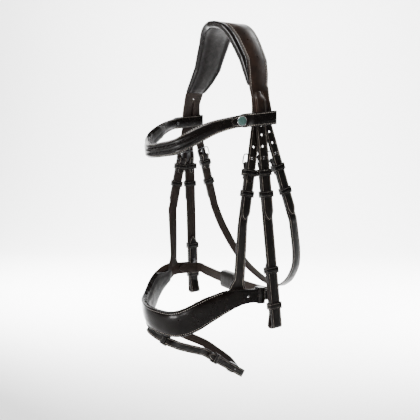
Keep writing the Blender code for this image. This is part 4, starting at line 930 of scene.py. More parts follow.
def leather(name, dark, light, flesh=(0.03, 0.021, 0.017), rough=(0.20, 0.30), crease=0.0,
            edge_highlight=0.0, coat=0.10, specular=0.24, grip=0.3):
    """Dyed, waxed leather with grain, uneven dye, edge creases and a rougher flesh side. A light
    line at the very edge is partly wear and partly painted highlight, and the creases carry a
    painted highlight.
    """
    s = Surface(name, specular=specular, coat=coat, coat_rough=0.22)
    edge = s.attribute("edge_distance")
    side = s.attribute("side")
    where = s.coordinates()
    blotch = s.noise(where, 55, 5)
    fine = s.noise(where, 600, 3)
    tone = s.blend(blotch, fine, 0.75)
    face = s.mix(s.grey(tone, (0.36, 0.0), (0.66, 1.0)), dark, light)
    # A light line at the very edge: partly wear, partly painted highlight.
    edge_wear_and_highlight = s.times(s.line(edge, EDGE_WEAR_AND_HIGHLIGHT_LINE, EDGE_WEAR_AND_HIGHLIGHT_LINE), 0.35 + edge_highlight)
    face = s.mix(edge_wear_and_highlight, face, tuple(c * 2.4 + 0.012 for c in light))
    # A light line along each crease, broken up by noise: painted highlight.
    pressed = s.times(s.line(edge, CREASE_AT, CREASE_LINE), side)
    crease_highlight_breakup = s.grey(s.noise(where, 240, 4), (0.34, 0.35), (0.62, 1.0))
    crease_highlit_face = s.mix(s.times(s.times(pressed, crease), crease_highlight_breakup), face, CREASE_HIGHLIGHT_COLOUR)
    fibres = s.noise(where, 420, 6, 0.7)
    behind = s.mix(s.grey(fibres, (0.35, 0.0), (0.7, 1.0)), flesh, tuple(c * 1.7 for c in flesh))
    is_back = s.grey(side, (0.10, 1.0), (0.30, 0.0))
    colour = s.mix(is_back, crease_highlit_face, behind)
    smoothness = s.grey(s.noise(where, 180, 4), (0.3, rough[0]), (0.7, rough[1]))
    roughness = s.mix(is_back, smoothness, BACK_ROUGH)
    pores = s.math("ADD", s.grey(s.cells(where, 1500), (0.0, 0.0), (0.22, 1.0)),
                   s.times(fine, 0.8))
    normal = s.bump(pores, 0.00005, grip)
    normal = s.bump(s.times(pressed, -1.0), 0.0002, 0.7, normal)
    normal = s.bump(s.times(fibres, is_back), 0.0003, 0.5, normal)
    return s.finish(colour, roughness, normal)


def lining(name, dark, light, wrinkle, rough):
    """Soft, matt leather over foam, with fine wrinkles, darker in their hollows and lighter on
    their crests: painted shade and highlight.
    """
    s = Surface(name, roughness=rough, specular=0.25, sheen=0.04)
    where = s.coordinates()
    folds = s.noise(where, 120, 6, 0.62, 1.2)
    fine = s.noise(where, 900, 3)
    # The colour follows the wrinkles: painted shade in their hollows, painted highlight on their
    # crests.
    colour = s.mix(s.grey(s.blend(folds, fine, 0.7), (0.38, 0.0), (0.64, 1.0)), dark, light)
    roughness = s.grey(fine, (0.3, rough - 0.08), (0.7, rough + 0.1))
    normal = s.bump(s.grey(s.cells(where, 1300), (0.0, 0.0), (0.25, 1.0)), 0.00008, 0.5)
    return s.finish(colour, roughness, s.bump(folds, wrinkle, 0.6, normal))


def cotton(name, dark, light):
    s = Surface(name, roughness=0.7, specular=0.3, sheen=0.2)
    where = s.coordinates()
    ply = s.node("ShaderNodeTexWave", {"bands_direction": "DIAGONAL"}, Scale=900,
                 Distortion=1.5, Vector=where).outputs["Fac"]
    colour = s.mix(s.times(ply, s.noise(where, 300, 3)), dark, light)
    return s.finish(colour, None, s.bump(ply, 0.0001, 0.5))


def steel(name, tone, rough):
    s = Surface(name, metallic=1.0)
    where = s.coordinates()
    rub = s.noise(where, 700, 4)
    streak = s.noise(where, 160, 5, 0.65, 0.6)
    colour = s.mix(streak, tuple(c * 0.72 for c in tone), tone)
    roughness = s.grey(s.blend(rub, streak, 0.5), (0.32, rough[0]), (0.68, rough[1]))
    return s.finish(colour, roughness, s.bump(rub, 0.00003, 0.4))


def enamel(name, dark, light):
    s = Surface(name, specular=0.6, coat=0.6, coat_rough=0.12)
    where = s.coordinates()
    flakes = s.noise(where, 1600, 2)
    cloud = s.noise(where, 260, 3)
    colour = s.mix(s.times(cloud, 1.1), dark, light)
    roughness = s.grey(flakes, (0.35, 0.2), (0.7, 0.4))
    return s.finish(colour, roughness, s.bump(flakes, 0.00004, 0.4))


BLACK_DYE = ((0.0030, 0.0022, 0.0019), (0.0068, 0.0048, 0.0040))
# The crease weights set how strongly a painted highlight runs along the edge creases.
STRAP = leather("strap_black", (0.0050, 0.0036, 0.0031), (0.0125, 0.0088, 0.0072),
                (0.022, 0.015, 0.012), (0.30, 0.44), crease=0.95, coat=0.06)
GLOSSY = leather("padded_black", *BLACK_DYE, rough=(0.17, 0.24), coat=0.04, specular=0.12,
                 grip=0.015)
# Adds painted highlight to the edges; used for the browband, its tabs and the keepers.
EDGED = leather("edged_black", *BLACK_DYE, crease=0.42, edge_highlight=0.5, specular=0.26, grip=0.06)
CROWN = leather("crown_brown", (0.0100, 0.0056, 0.0038), (0.038, 0.0200, 0.0130),
                rough=(0.27, 0.42), crease=0.35, specular=0.32, grip=0.2)
LINING = lining("lining_grey", (0.0085, 0.0073, 0.0070), (0.021, 0.0180, 0.0172), 0.0003, 0.50)
ROLL = leather("roll_black", (0.0048, 0.0035, 0.0031), (0.011, 0.008, 0.0068), grip=0.08)
THREAD = cotton("thread", (0.24, 0.21, 0.185), (0.58, 0.53, 0.47))
# The buckles' steel tone is kept low, painted shade, and the cap's steel is a lighter copy of it,
# painted highlight.
STEEL = steel("stainless", (0.27, 0.27, 0.28), (0.22, 0.38))
RIM = steel("cap_rim", (0.62, 0.62, 0.62), (0.16, 0.28))
ENAMEL = enamel("cap_enamel", (0.036, 0.088, 0.078), (0.115, 0.215, 0.190))


# Crown
CROWN_SEAM_INSET = 0.0022
CROWN_SEAM_END_SHARE = 0.725
# The points of the padding's outline that are lined, front to back
CROWN_LINED = range(24, 40)
CROWN_PAD_END_RUN = 0.012
CHEEK_TAIL_NARROW_SHARE = 0.70
CHEEK_TAIL_WIDEN_SHARE = 0.04
# A pad is this deep at its very ends, as a share of its depth
PAD_END_DEPTH_SHARE = 0.55


def crown_lane(skin, side, edges, start, end, step=0.012, rise=None, caps=False):
    """Leather between two edges, along shares of the way down one side of the arch."""
    sections = []
    for share in spread(start, end, step):
        low, high = edges(share)
        lift = rise(share) if rise else 0.0
        profile = strap_profile(low, high, -LEATHER / 2 + lift, LEATHER / 2 + lift)
        sections.append(section_at(crown_frame(side * share), profile))
    skin.loft(sections, caps=caps)


def crown_frame(share):
    return ARCH.frame(ARCH_HALF * (1 + share))


def slit_edges(share):
    """The two sides of the slit between the front tail and the throat's."""
    low = FRONT.start_y + FRONT.width / 2
    high = THROAT.start_y - THROAT.width / 2
    middle = (low + high) / 2
    t = ease((share - SLIT_START_SHARE) / (SLIT_WIDE_SHARE - SLIT_START_SHARE))
    start = SLIT_START_WIDTH / 2
    return (middle - start) * (1 - t) + low * t, (middle + start) * (1 - t) + high * t


def cheek_tail_edges(share):
    widened = min((share - CHEEK_TAIL_START_SHARE) / CHEEK_TAIL_WIDEN_SHARE, 1.0)
    narrow = CHEEK_TAIL_NARROW_SHARE
    size = CHEEK.width / 2 * (narrow + (1 - narrow) * widened)
    return CHEEK.start_y - size, CHEEK.start_y + size


def cheek_tail_rise(share):
    """The cheekpiece's tail rises out of the crown's leather to lie over the other two."""
    run = CHEEK_TAIL_FREE_SHARE - CHEEK_TAIL_START_SHARE
    return (LEATHER + LAYER_GAP) * ease((share - CHEEK_TAIL_START_SHARE) / run)


def crown():
    skin = Skin()
    start = SLIT_START_SHARE
    end = TAIL_END / ARCH_HALF
    crown_lane(skin, 1, lambda share: leather_edges(abs(share)), -start, start, 0.02)
    for side in (-1, 1):
        crown_lane(skin, side, lambda share: (leather_edges(share)[0], slit_edges(share)[0]),
                   start, end)
        crown_lane(skin, side, lambda share: (slit_edges(share)[1], leather_edges(share)[1]),
                   start, end)
        crown_lane(skin, side, cheek_tail_edges, CHEEK_TAIL_START_SHARE,
                   (ARCH_HALF - GAP) / ARCH_HALF, rise=cheek_tail_rise, caps=True)
    place(skin.object("crown_strap", [CROWN]), "headpiece", "crown_leather", "crown_leather")
    shares = spread(-CROWN_SEAM_END_SHARE, CROWN_SEAM_END_SHARE, 0.02)
    lines = [seam(ARCH, [(ARCH_HALF * (1 + share), leather_edges(abs(share))[edge] + inset,
                          LEATHER / 2) for share in shares])
             for edge, inset in ((0, CROWN_SEAM_INSET), (1, -CROWN_SEAM_INSET))]
    thread("crown_seams", lines, "headpiece", pitch=0.0046, length=0.0033)


def crown_pad_outline(share, taper):
    """The front roll, the flat under the leather, the rear roll and the quilted underside."""
    low, high = crown_edges(share)
    leather_low, leather_high = leather_edges(share)
    inner_low = leather_low - 2 * GAP
    inner_high = leather_high + 2 * GAP
    top = -LEATHER / 2 - GAP
    width = high - low
    roll = inner_low - low
    depth = CROWN_PADDING * taper
    rise = CROWN_ROLL_RISE * taper
    middle = (low + high) / 2
    corner = 0.0006
    return rounded([
        (low + width * 0.10, top - depth * 0.86), (low + width * 0.03, top - depth * 0.55),
        (low, top - depth * 0.1), (low + roll * 0.09, rise * 0.45),
        (low + roll * 0.42, rise * 1.05), (low + roll * 0.8, rise * 0.85), (inner_low, top / 2),
        (inner_low + corner, top), (inner_high - corner, top),
        (inner_high, top / 2), ((inner_high + high) / 2, 0.0), (high, top - depth * 0.25),
        (high - width * 0.02, top - depth * 0.68), (high - width * 0.10, top - depth),
        (high - width * 0.16, top - depth * 0.80), (high - width * 0.30, top - depth),
        (middle + width * 0.03, top - depth * 1.02), (middle - width * 0.03, top - depth * 1.02),
        (low + width * 0.32, top - depth), (low + width * 0.20, top - depth * 0.74),
    ], 2)


def end_depth(inward):
    """A pad's depth share near its ends, by the share of the run in from its end."""
    return PAD_END_DEPTH_SHARE + (1 - PAD_END_DEPTH_SHARE) * math.sqrt(inward)


def ripple(x, y, z, height):
    """A small, repeatable unevenness."""
    return noise.noise(Vector((x, y, z))) * height


def crown_pad():
    """A thick black roll in front, a thin one behind and a grey quilted underside."""
    sections = []
    end = PADDING_END_SHARE
    for share in spread(-end, end, CROWN_PAD_END_RUN):
        taper = read_table(PADDING_SHARES, abs(share), 1)
        taper *= end_depth(clamp((end - abs(share)) / CROWN_PAD_END_RUN))
        here = crown_frame(share)
        ring = []
        for across, out in crown_pad_outline(abs(share), taper):
            if -LEATHER / 2 - GAP - out > 0.001:
                out += (ripple(share * 38, across * 260, 3.1, 0.00030)
                        + ripple(share * 110, across * 520, 7.7, 0.00014))
            ring.append((at(here, across, out), PLAIN_EDGE, 1.0))
        sections.append(ring)
    skin = Skin()
    skin.loft(sections, slots=[int(index in CROWN_LINED) for index in range(len(sections[0]))])
    place(skin.object("crown_cushion", [ROLL, LINING], 70), "headpiece", "crown_padding",
          "soft_lining", 0.8)


# Browband
BAND_EDGE_ROUND = 0.0008
BAND_GROOVE = 0.0002
BAND_GROOVE_HALF = 0.0004
BAND_FLAT_BELOW = 0.0004
BAND_SEAM_SHARE = 0.89
BAND_SEAM_END_SHARE = 0.80
# The ridges across the face: the middle, the half width and the height, in shares
BAND_ROLL_SHARES = ((0.0, 0.34, 1.0), (0.61, 0.27, 0.82), (-0.61, 0.27, 0.82))
TAB_TIP_SHARES = ((0.62, 1.0), (0.5, 0.985), (0.36, 0.94), (0.22, 0.85), (0.11, 0.70),
                  (0.03, 0.5), (0.0, 0.36))
TAB_SEAM_INSET = 0.0020


def band_rise(u, proud, merge):
    """Three soft rolls across the band's face, which merge into one crowned band."""
    rise = 0.0
    for centre, half, height in BAND_ROLL_SHARES:
        t = abs(u - centre) / half
        if t < 1:
            rise = max(rise, height * math.sqrt(1 - t ** 2.4))
    single = 0.85 * max(0.0, 1 - (abs(u) / 0.86) ** 2.2)
    return proud * (rise + (single - rise) * merge)


def face_profile(half, count, rise, flat, back_shares, turn):
    """A band's outline: its face, creased where it is flat, then its turned edge and back."""
    face = LEATHER / 2
    profile = []
    for n in range(count + 1):
        u = -1 + 2 * n / count
        inset = half * (1 - abs(u))
        drop = max(0.0, BAND_EDGE_ROUND - inset) ** 2 / BAND_EDGE_ROUND
        creased = flat and abs(inset - CREASE_AT) < BAND_GROOVE_HALF
        out = face - drop - (BAND_GROOVE if creased else 0.0) + rise(u)
        profile.append((half * u, out, inset, 1.0))
    back = [(half * share, out, inset, side) for share, (out, inset, side) in
            zip(back_shares, ((turn, 0.0, 0.5), (-face + 0.0003, 0.0, 0.2), (-face, 0.001, 0.0)))]
    profile += back + [(0.0, -face, half, 0.0)]
    return profile + [(-across, *rest) for across, *rest in reversed(back)]


def browband():
    skin = Skin()
    skin.loft([section_at(BAND.frame(BAND_HALF + distance), face_profile(
        height / 2, 44, lambda u: band_rise(u, proud, merge), proud < BAND_FLAT_BELOW,
        (0.99, 0.975, 0.95), LEATHER / 2 - 0.0016))
        for distance, height, proud, merge in refined(both_ways(band_rows()), 0.0028)])
    skin.all_outside()
    place(skin.object("browband_face", [EDGED], 60), "headpiece", "browband_leather")
    rows = [row for row in refined(both_ways(band_rows()))
            if abs(row[0]) <= BAND_HALF * BAND_SEAM_END_SHARE]
    lines = [seam(BAND, [(BAND_HALF + distance, sign * (height / 2 * BAND_SEAM_SHARE),
                          LEATHER / 2 + band_rise(BAND_SEAM_SHARE, proud, merge))
                         for distance, height, proud, merge in rows]) for sign in (-1, 1)]
    thread("browband_seams", lines, "headpiece", pitch=0.0036, length=0.0028, radius=0.00040)


def cushion(name, node, body, path, rows, depth, ripples, channels, roll):
    """A soft pad behind a band, whose upper edge is gathered and black above the roll's share.

    Rows give a distance from the middle, the two edges and a depth share. Channels are sewn
    in, by their place across and their depth share.
    """
    count = 26
    end_run = 0.008
    channel_half = 0.06
    gather = 0.0002
    back = -LEATHER / 2 - GAP
    fine = refined(rows, 0.0026)
    first, last = fine[0][0], fine[-1][0]
    sections = []
    for distance, low, high, share in fine:
        here = path.frame(path.length / 2 + distance)
        ending = min((distance - first) / end_run, (last - distance) / end_run, 1.0)
        deep = depth * share * end_depth(max(0.0, 1 - (1 - ending) ** 2))
        wide = high - low
        ring = []
        for n in range(count + 1):
            u = n / count
            bulge = (1 - abs(2 * u - 1) ** 3.2) ** 0.62
            across = low - wide * 0.012 + (wide * 1.024) * u
            if u > roll:
                across += gather * math.sin(distance * 520)
            dip = 0.0
            for middle, size in channels:
                away = abs(u - middle) / channel_half
                if away < 1:
                    dip = max(dip, size * (1 - away * away))
            out = back - deep * max(0.0, bulge - dip)
            out += ripple(distance * ripples, u * 7, 1.3, 0.0005 * bulge)
            out += ripple(distance * ripples * 2.6, u * 15, 5.9, 0.000225 * bulge)
            ring.append((at(here, across, out), PLAIN_EDGE, 1.0))
        for across in (high - wide * 0.02, low + wide * 0.02):
            ring.append((at(here, across, back), PLAIN_EDGE, 1.0))
        sections.append(ring)
    skin = Skin()
    skin.loft(sections, slots=[int(n / count >= roll) for n in range(len(sections[0]))])
    place(skin.object(name, [LINING, ROLL], 70), body, node, "soft_lining", 0.75)


def browband_pad():
    rows = both_ways(pad_rows(band_rows(), BAND_HALF * BAND_PADDING_END_SHARE, GAP))
    cushion("browband_cushion", "browband_padding", "headpiece", BAND, rows, BAND_PADDING, 150,
            ((0.5, 0.08), (0.84, 0.20)), 0.84)


def browband_tabs():
    height = BAND_HEIGHT
    end = height * TAB_END_HEIGHT_SHARE
    marks = [(mark, height * LOOP_HEIGHT_SHARE) for mark in TAB.marks if mark < TAB.length - end]
    marks += [(TAB.length - end * back, end * share) for back, share in TAB_TIP_SHARES]
    skin = Skin()
    strip(skin, TAB, [(mark, -size / 2, size / 2) for mark, size in marks], TAB_LEATHER, 0.002)
    skin.all_outside()
    place_both(skin.object("browband_tab", [EDGED]), "tab", "browband_tab")
    lines = [seam(TAB, [(mark, sign * (size / 2 - TAB_SEAM_INSET), -TAB_LEATHER / 2)
                        for mark, size in marks[:-4]], -1) for sign in (-1, 1)]
    thread_both("tab_seams", lines, "tab", pitch=0.0034, length=0.0026, radius=0.00036)


def snap_caps():
    """A steel cap with a raised rim round its enamel, over the socket and its shank. Its steel is
    a lighter copy of the buckles' steel, a painted highlight.
    """
    inside = LEATHER / 2 + SNAP_SPACE
    cavity = SOCKET_RADIUS - SOCKET_WALL
    mouth = LEATHER / 2 + 2 * GAP
    rise = inside + TAB_LEATHER + GAP
    body = [(inside - GAP, 0.0001), (inside - GAP, cavity), (mouth, cavity),
            (mouth, SOCKET_RADIUS), (inside - GAP / 2, SOCKET_RADIUS),
            (inside - GAP / 2, CAP_SHANK_RADIUS), (rise, CAP_SHANK_RADIUS)]
    # The rim and then the enamel: heights over the tab, and shares of the radius
    rim = ((0.0, 0.97), (0.0003, 1.0), (0.0012, 1.0), (0.0017, 0.975), (0.0019, 0.93),
           (0.0017, 0.885), (0.0013, 0.87))
    face = ((0.00145, 0.85), (0.0018, 0.66), (0.00195, 0.4), (0.0020, 0.04))
    body += [(rise + height, CAP_RADIUS * share) for height, share in rim + face]
    here = snap_frame(1)
    sides = 48
    skin = Skin()
    skin.loft([disc_at(here, height, size, sides, PLAIN_EDGE, 1.0) for height, size in body])
    steel_faces = sides * (len(body) - len(face) - 1)
    enamel_faces = sides * len(face)
    skin.slots = [0] * steel_faces + [1] * enamel_faces + [0, 1]
    place_both(skin.object("snap_disc", [RIM, ENAMEL], 40), "tab", "snap_cap", "enamelled_cap")


# Noseband
WELT_AT_SHARE = 0.915
WELT_HALF_SHARE = 0.055
NOSE_CROWN_SHARE = 0.84
NOSE_SEAM_SHARE = 0.845
NOSE_SEAM_FROM = 0.6
NOSE_FLAT_BELOW = 0.3
# The padding is lowered round a hanger's seat, in shares of the seat's depth and ahead of it
PAD_LOWERED_SHARE = 2.4
PAD_LOWERED_AHEAD_SHARE = 0.3
# The tip at each end: back from it and the height, in shares of the end's height
NOSE_TIP_SHARES = ((0.30, 1.0), (0.22, 0.95), (0.14, 0.86), (0.08, 0.74), (0.04, 0.62),
                   (0.01, 0.50), (0.0, 0.44))


def nose_rise(u, swell):
    """Two piped welts near the edges and a crowned, padded middle."""
    rise = 0.0
    t = abs(abs(u) - WELT_AT_SHARE) / WELT_HALF_SHARE
    if t < 1:
        rise = NOSE_WELT * 1.15 * math.sqrt(1 - t * t)
    if abs(u) < NOSE_CROWN_SHARE:
        rise = max(rise, NOSE_CROWN * (1 - (abs(u) / NOSE_CROWN_SHARE) ** 2.6))
    return rise * swell


def noseband():
    last = NOSE.length - NOSE_HALF
    rows = [row for row in nose_rows() if row[0] <= last - NOSE_END_HEIGHT * 0.62]
    rows += [(last - NOSE_END_HEIGHT * back, NOSE_END_HEIGHT * share, 0.0)
             for back, share in NOSE_TIP_SHARES]
    skin = Skin()
    skin.loft([section_at(NOSE.frame(NOSE_HALF + distance), face_profile(
        height / 2, 56, lambda u: nose_rise(u, swell), swell < NOSE_FLAT_BELOW,
        (0.995, 0.98, 0.96), 0.0))
        for distance, height, swell in refined(both_ways(rows), 0.0026)])
    obj = skin.object("noseband_face", [GLOSSY], 70)
    first = CHIN_BAR - FRAME_HEIGHT + STUD_BELOW_FRAME
    holes(obj, LINES["chin"], [first, first + HOLE_PITCH])
    place(obj, "noseband", "noseband_leather")
    lines = [seam(NOSE, [(NOSE_HALF + distance, sign * height / 2 * NOSE_SEAM_SHARE, LEATHER / 2)
                         for distance, height, swell in refined(both_ways(nose_rows()))
                         if swell >= NOSE_SEAM_FROM]) for sign in (-1, 1)]
    thread("noseband_seams", lines, "noseband", pitch=0.0036, length=0.0029, radius=0.00048)


def noseband_pad():
    end = NOSE.distance_at_y(NOSE_PADDING_END_Y) - NOSE_HALF
    foot = NOSE.distance_at_y(HANGER_SEAT_Y - FRONT.width / 2 - HANGER_FLARE) - NOSE_HALF
    lowered_from = foot - NOSE_HEIGHT * PAD_LOWERED_AHEAD_SHARE
    rows = []
    for distance, low, high, share in pad_rows(nose_rows(), end, GAP):
        lowered = HANGER_SEAT_DEPTH * PAD_LOWERED_SHARE if distance > lowered_from else 0.0
        top = nose_height(NOSE_HALF + distance) / 2 - lowered
        rows.append((distance, low, min(high, top), share))
    cushion("noseband_cushion", "noseband_padding", "noseband", NOSE, both_ways(rows),
            NOSE_PADDING, 110, ((0.86, 0.20),), 0.86)


# Straps of one side
TIP_RUN_SHARE = 0.85
BLEND_ABOVE = 0.006
BLEND_BELOW = 0.004
SEAM_INSET = 0.0022
CHAPE_SEAM_AFTER = 0.001
CHAPE_SEAM_BEFORE = 0.002
HANGER_BEND_SHARE = 0.35
FLARE_START_SHARE = 0.9
FLARE_REACH_SHARE = 0.75
FLARE_POWER = 1.7
# Which mark of a folded strap's path is the end of its fold
FOLD_END = FOLD_STEPS + 2


def holes(obj, line, distances):
    """Punch round holes, whose walls get the flesh colour."""
    reach = LEATHER / 2 + OVERRUN
    skin = Skin()
    for distance in distances:
        here = line.frame(distance)
        skin.loft([disc_at(here, out, HOLE_RADIUS, 16, 0.0, 0.0) for out in (-reach, reach)])
    cutter = skin.object("hole_cutter", [STRAP])
    cutter.data.polygons.foreach_set("use_smooth", [False] * len(cutter.data.polygons))
    modifier = obj.modifiers.new("holes", "BOOLEAN")
    modifier.operation = "DIFFERENCE"
    modifier.object = cutter
    bpy.context.view_layer.update()
    depsgraph = bpy.context.evaluated_depsgraph_get()
    mesh = bpy.data.meshes.new_from_object(obj.evaluated_get(depsgraph))
    obj.modifiers.clear()
    obj.data = mesh
    bpy.data.objects.remove(cutter)


def billets(key):
    """From the crown's tail down to the tip, as one run of leather."""
    spec = SPECS[key]
    line = LINES[key]
    width = spec.width
    start = 0.0 if key == "cheek" else -width / 2 - GAP / 2
    rows = [(start, -width / 2, width / 2),
            (BILLET_LENGTH - width * TIP_RUN_SHARE, -width / 2, width / 2)]
    rows += round_tip(BILLET_LENGTH, width)
    skin = Skin()
    strip(skin, line.path(((-width, 0.0), (BILLET_LENGTH, 0.0))),
          [(mark + width, low, high) for mark, low, high in rows])
    obj = skin.object("strap_" + key, [STRAP])
    first = stud_place(spec) + spec.first_hole * HOLE_PITCH
    holes(obj, line, [first + n * HOLE_PITCH for n in range(HOLE_COUNT)])
    for piece, side in ((obj, 1), (twin(obj), -1)):
        dress(side_name("billet_" + key, side))
        begin, end = line.point(-BLEND_ABOVE), line.point(BLEND_BELOW)
        if side < 0:
            begin, end = flip(begin), flip(end)
        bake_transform(piece)


def fold_pairs(bar, turn_back=TURN_BACK):
    """The strap's end, turned back over the buckle's bar, as distances and outward offsets."""
    middle = -STEP - FOLD_RADIUS
    pairs = [(bar + turn_back, -2 * STEP), (bar + FOLD_MERGE, -2 * STEP)]
    pairs += [(bar - up, middle + out) for out, up in arc(FOLD_RADIUS, 180, 0, FOLD_STEPS)]
    return pairs


def neck_rows(path, width, neck):
    """The turned-back end with an eased tip, the neck in the buckle and the widening below."""
    fold_end = path.marks[FOLD_END]
    return [(0.0, -neck * 0.25, neck * 0.25), (neck * 0.06, -neck * 0.38, neck * 0.38),
            (neck * 0.2, -neck / 2, neck / 2), (fold_end, -neck / 2, neck / 2),
            (fold_end + NECK_RUN, -width / 2, width / 2)]


def strap_rows(path, width, neck):
    """The rows of a whole strap, from its folded end to its tip."""
    rows = neck_rows(path, width, neck)
    tip = path.length - width * TIP_RUN_SHARE
    rows += [(mark, -width / 2, width / 2) for mark in path.marks[FOLD_END + 1:]
             if rows[-1][0] < mark < tip]
    return rows + round_tip(path.length, width)


def chape_seams(line, bar, width):
    """Two rows of stitches on the inner ply, under the fixed keeper."""
    ends = (bar + FOLD_MERGE + CHAPE_SEAM_AFTER, bar + TURN_BACK - CHAPE_SEAM_BEFORE)
    out = -2 * STEP - LEATHER / 2
    return [[(line.point(distance, sign * (width / 2 - SEAM_INSET), out), -line.out)
             for distance in ends] for sign in (-1, 1)]


def cheekpieces():
    line = LINES["cheek"]
    low = BIT_FOLD_AT - LEATHER / 2
    span = BIT_LOOP_INSIDE + LEATHER
    inner = -STEP - BIT_PLY_STEP
    turn = low - BIT_CORNER
    outer_turn = -STEP - BIT_CORNER
    inner_turn = -STEP - span + BIT_CORNER
    pairs = fold_pairs(CHEEK.bar) + [(turn, -STEP)]
    pairs += [(turn + x, outer_turn + y) for x, y in arc(BIT_CORNER, 90, 0, 4)[1:]]
    pairs.append((low, inner_turn))
    pairs += [(turn + x, inner_turn + y) for x, y in arc(BIT_CORNER, 0, -90, 4)[1:]]
    pairs += [(low - BIT_LOOP_HEIGHT, inner), (BIT_BILLET_TIP_AT, inner)]
    path = line.path(pairs)
    skin = Skin()
    strip(skin, path, strap_rows(path, CHEEK.width, CHEEK.neck))
    ring(skin, line, BIT_KEEPER_AT, CHEEK.width, inner - LEATHER / 2 - GAP,
         -STEP + LEATHER / 2 + GAP)
    place_both(skin.object("cheek_strap", [STRAP]), "cheek", "cheekpiece")
    thread_both("cheek_seams", chape_seams(line, CHEEK.bar, CHEEK.neck), "cheek")


def hangers():
    """From the front buckles down to the noseband, turning and flaring onto its upper edge."""
    line = LINES["front"]
    seat_at = NOSE.distance_at_y(HANGER_SEAT_Y)
    turned = NOSE.frame(seat_at - HANGER_FLARE / 2)
    seat = Frame(NOSE.frame(seat_at).origin, turned.along, turned.across, turned.out)
    half = nose_height(seat_at) / 2
    out = -STEP - HANGER_SEAT_SINK
    bend_start = HANGER_STRAIGHT - STRAIGHT_TAIL
    start = line.path(fold_pairs(FRONT.bar) + [(bend_start, -STEP)])
    rise = FRONT.width
    end = line.point(HANGER_STRAIGHT, 0.0, -STEP)
    top = at(seat, half + rise * HANGER_BEND_SHARE, out)
    bend = smooth([line.point(bend_start, 0.0, -STEP), end, end.lerp(top, 0.4),
                   end.lerp(top, 0.8), top, at(seat, half - HANGER_SEAT_DEPTH, out)], 8)
    turns = ((0.55, line.across), (0.95, seat.along))
    path = Path(start.points + bend[1:], line.across, turns)
    edge = FRONT.width / 2
    foot = path.length - HANGER_SEAT_DEPTH
    rows = neck_rows(path, FRONT.width, FRONT.neck)
    rows.append((foot - rise * FLARE_START_SHARE, -edge, edge))
    for back in (0.8, 0.7, 0.6, 0.5, 0.4, 0.3, 0.2, 0.1, 0.0):
        share = FLARE_REACH_SHARE * (1 - back / FLARE_START_SHARE) ** FLARE_POWER
        rows.append((foot - rise * back, -edge - HANGER_FLARE * share, edge))
    rows.append((path.length, -edge - HANGER_FLARE, edge))
    skin = Skin()
    strip(skin, path, rows)
    place_both(skin.object("hanger_strap", [STRAP]), "noseband", "hanger")
    flare = seam(path, [(distance, low + SEAM_INSET, LEATHER / 2)
                        for distance, low, _ in refined(rows, 0.002) if distance >= foot - rise])
    thread_both("hanger_seams", chape_seams(line, FRONT.bar, FRONT.neck) + [flare], "noseband")


def throat():
    line = LINES["throat"]
    start = line.path(fold_pairs(THROAT.bar) + [(THROAT_STRAIGHT - STRAIGHT_TAIL, -STEP)])
    end = line.point(THROAT_STRAIGHT, 0.0, -STEP)
    back = THROAT_LOW_Y - end.y
    down = THROAT_LOW_Z - end.z
    curve = [start.points[-1], end]
    curve += [Vector((end.x * x, end.y + back * y, end.z + down * z))
              for x, y, z in THROAT_SHARES]
    curve.append(Vector((0.0, THROAT_LOW_Y, THROAT_LOW_Z)))
    curve += [flip(point) for point in reversed(curve[:-1])]
    points = start.points + smooth(curve, 7)[1:-1]
    points += [flip(point) for point in reversed(start.points)]
    rear = (0.0, 1.0, 0.0)
    turns = ((0.2, line.across), (0.4, rear), (0.6, rear), (0.8, flip(line.across)))
    path = Path(points, line.across, turns)
    rows = neck_rows(path, THROAT.width, THROAT.neck)
    rows += [(path.length - row[0], *row[1:]) for row in reversed(rows)]
    skin = Skin()
    strip(skin, path, rows)
    place(skin.object("throat_strap", [STRAP]), "throatlatch", "throatlatch")
    thread_both("throat_seams", chape_seams(line, THROAT.bar, THROAT.neck), "throatlatch")


# Keepers
PLY_LOW = -LEATHER / 2 - GAP
PLY_HIGH = LEATHER / 2 + GAP
RING_INNER = 0.0002
RING_EDGE = 0.0005
# From the ring's edge inwards: the inset, the wall's share there and the edge distance
RING_BANDS = ((0.0, 0.0, 0.0), (0.0, 0.6, 0.0), (RING_EDGE * 0.4, 0.9, 0.0003),
              (RING_EDGE, 1.0, 0.0006), (0.0016, 1.0, 0.0018), (0.0019, 0.88, 0.0022),
              (0.0022, 1.0, 0.0032))


def ring(skin, line, distance, width, low, high, height=KEEPER_HEIGHT):
    """A leather loop with rounded corners and edges."""
    side = width / 2 + KEEPER_SIDE_CLEAR - RING_INNER
    top, bottom = high - RING_INNER, low + RING_INNER
    corners = ((side, top, 0), (-side, top, 90), (-side, bottom, 180), (side, bottom, 270))
    outline = [(across, out, x, y) for across, out, begin in corners
               for x, y in arc(1.0, begin, begin + 90, 4)]
    bands = [(-height / 2 + inset, share, edge) for inset, share, edge in RING_BANDS]
    bands += [(height / 2 - inset, share, edge) for inset, share, edge in reversed(RING_BANDS)]
    sections = []
    for shift, share, edge in bands:
        here = line.frame(distance + shift)
        grown = RING_INNER + KEEPER_WALL * 0.95 * share
        sections.append([(at(here, across + x * grown, out + y * grown), edge,
                          1.0 if share > 0.5 else 0.5) for across, out, x, y in outline])
    skin.loft(sections, closed=True)


def keeper(name, line, distance, width, low, high, height=KEEPER_HEIGHT):
    skin = Skin()
    ring(skin, line, distance, width, low, high, height)
    return skin.object(name, [EDGED], 45)


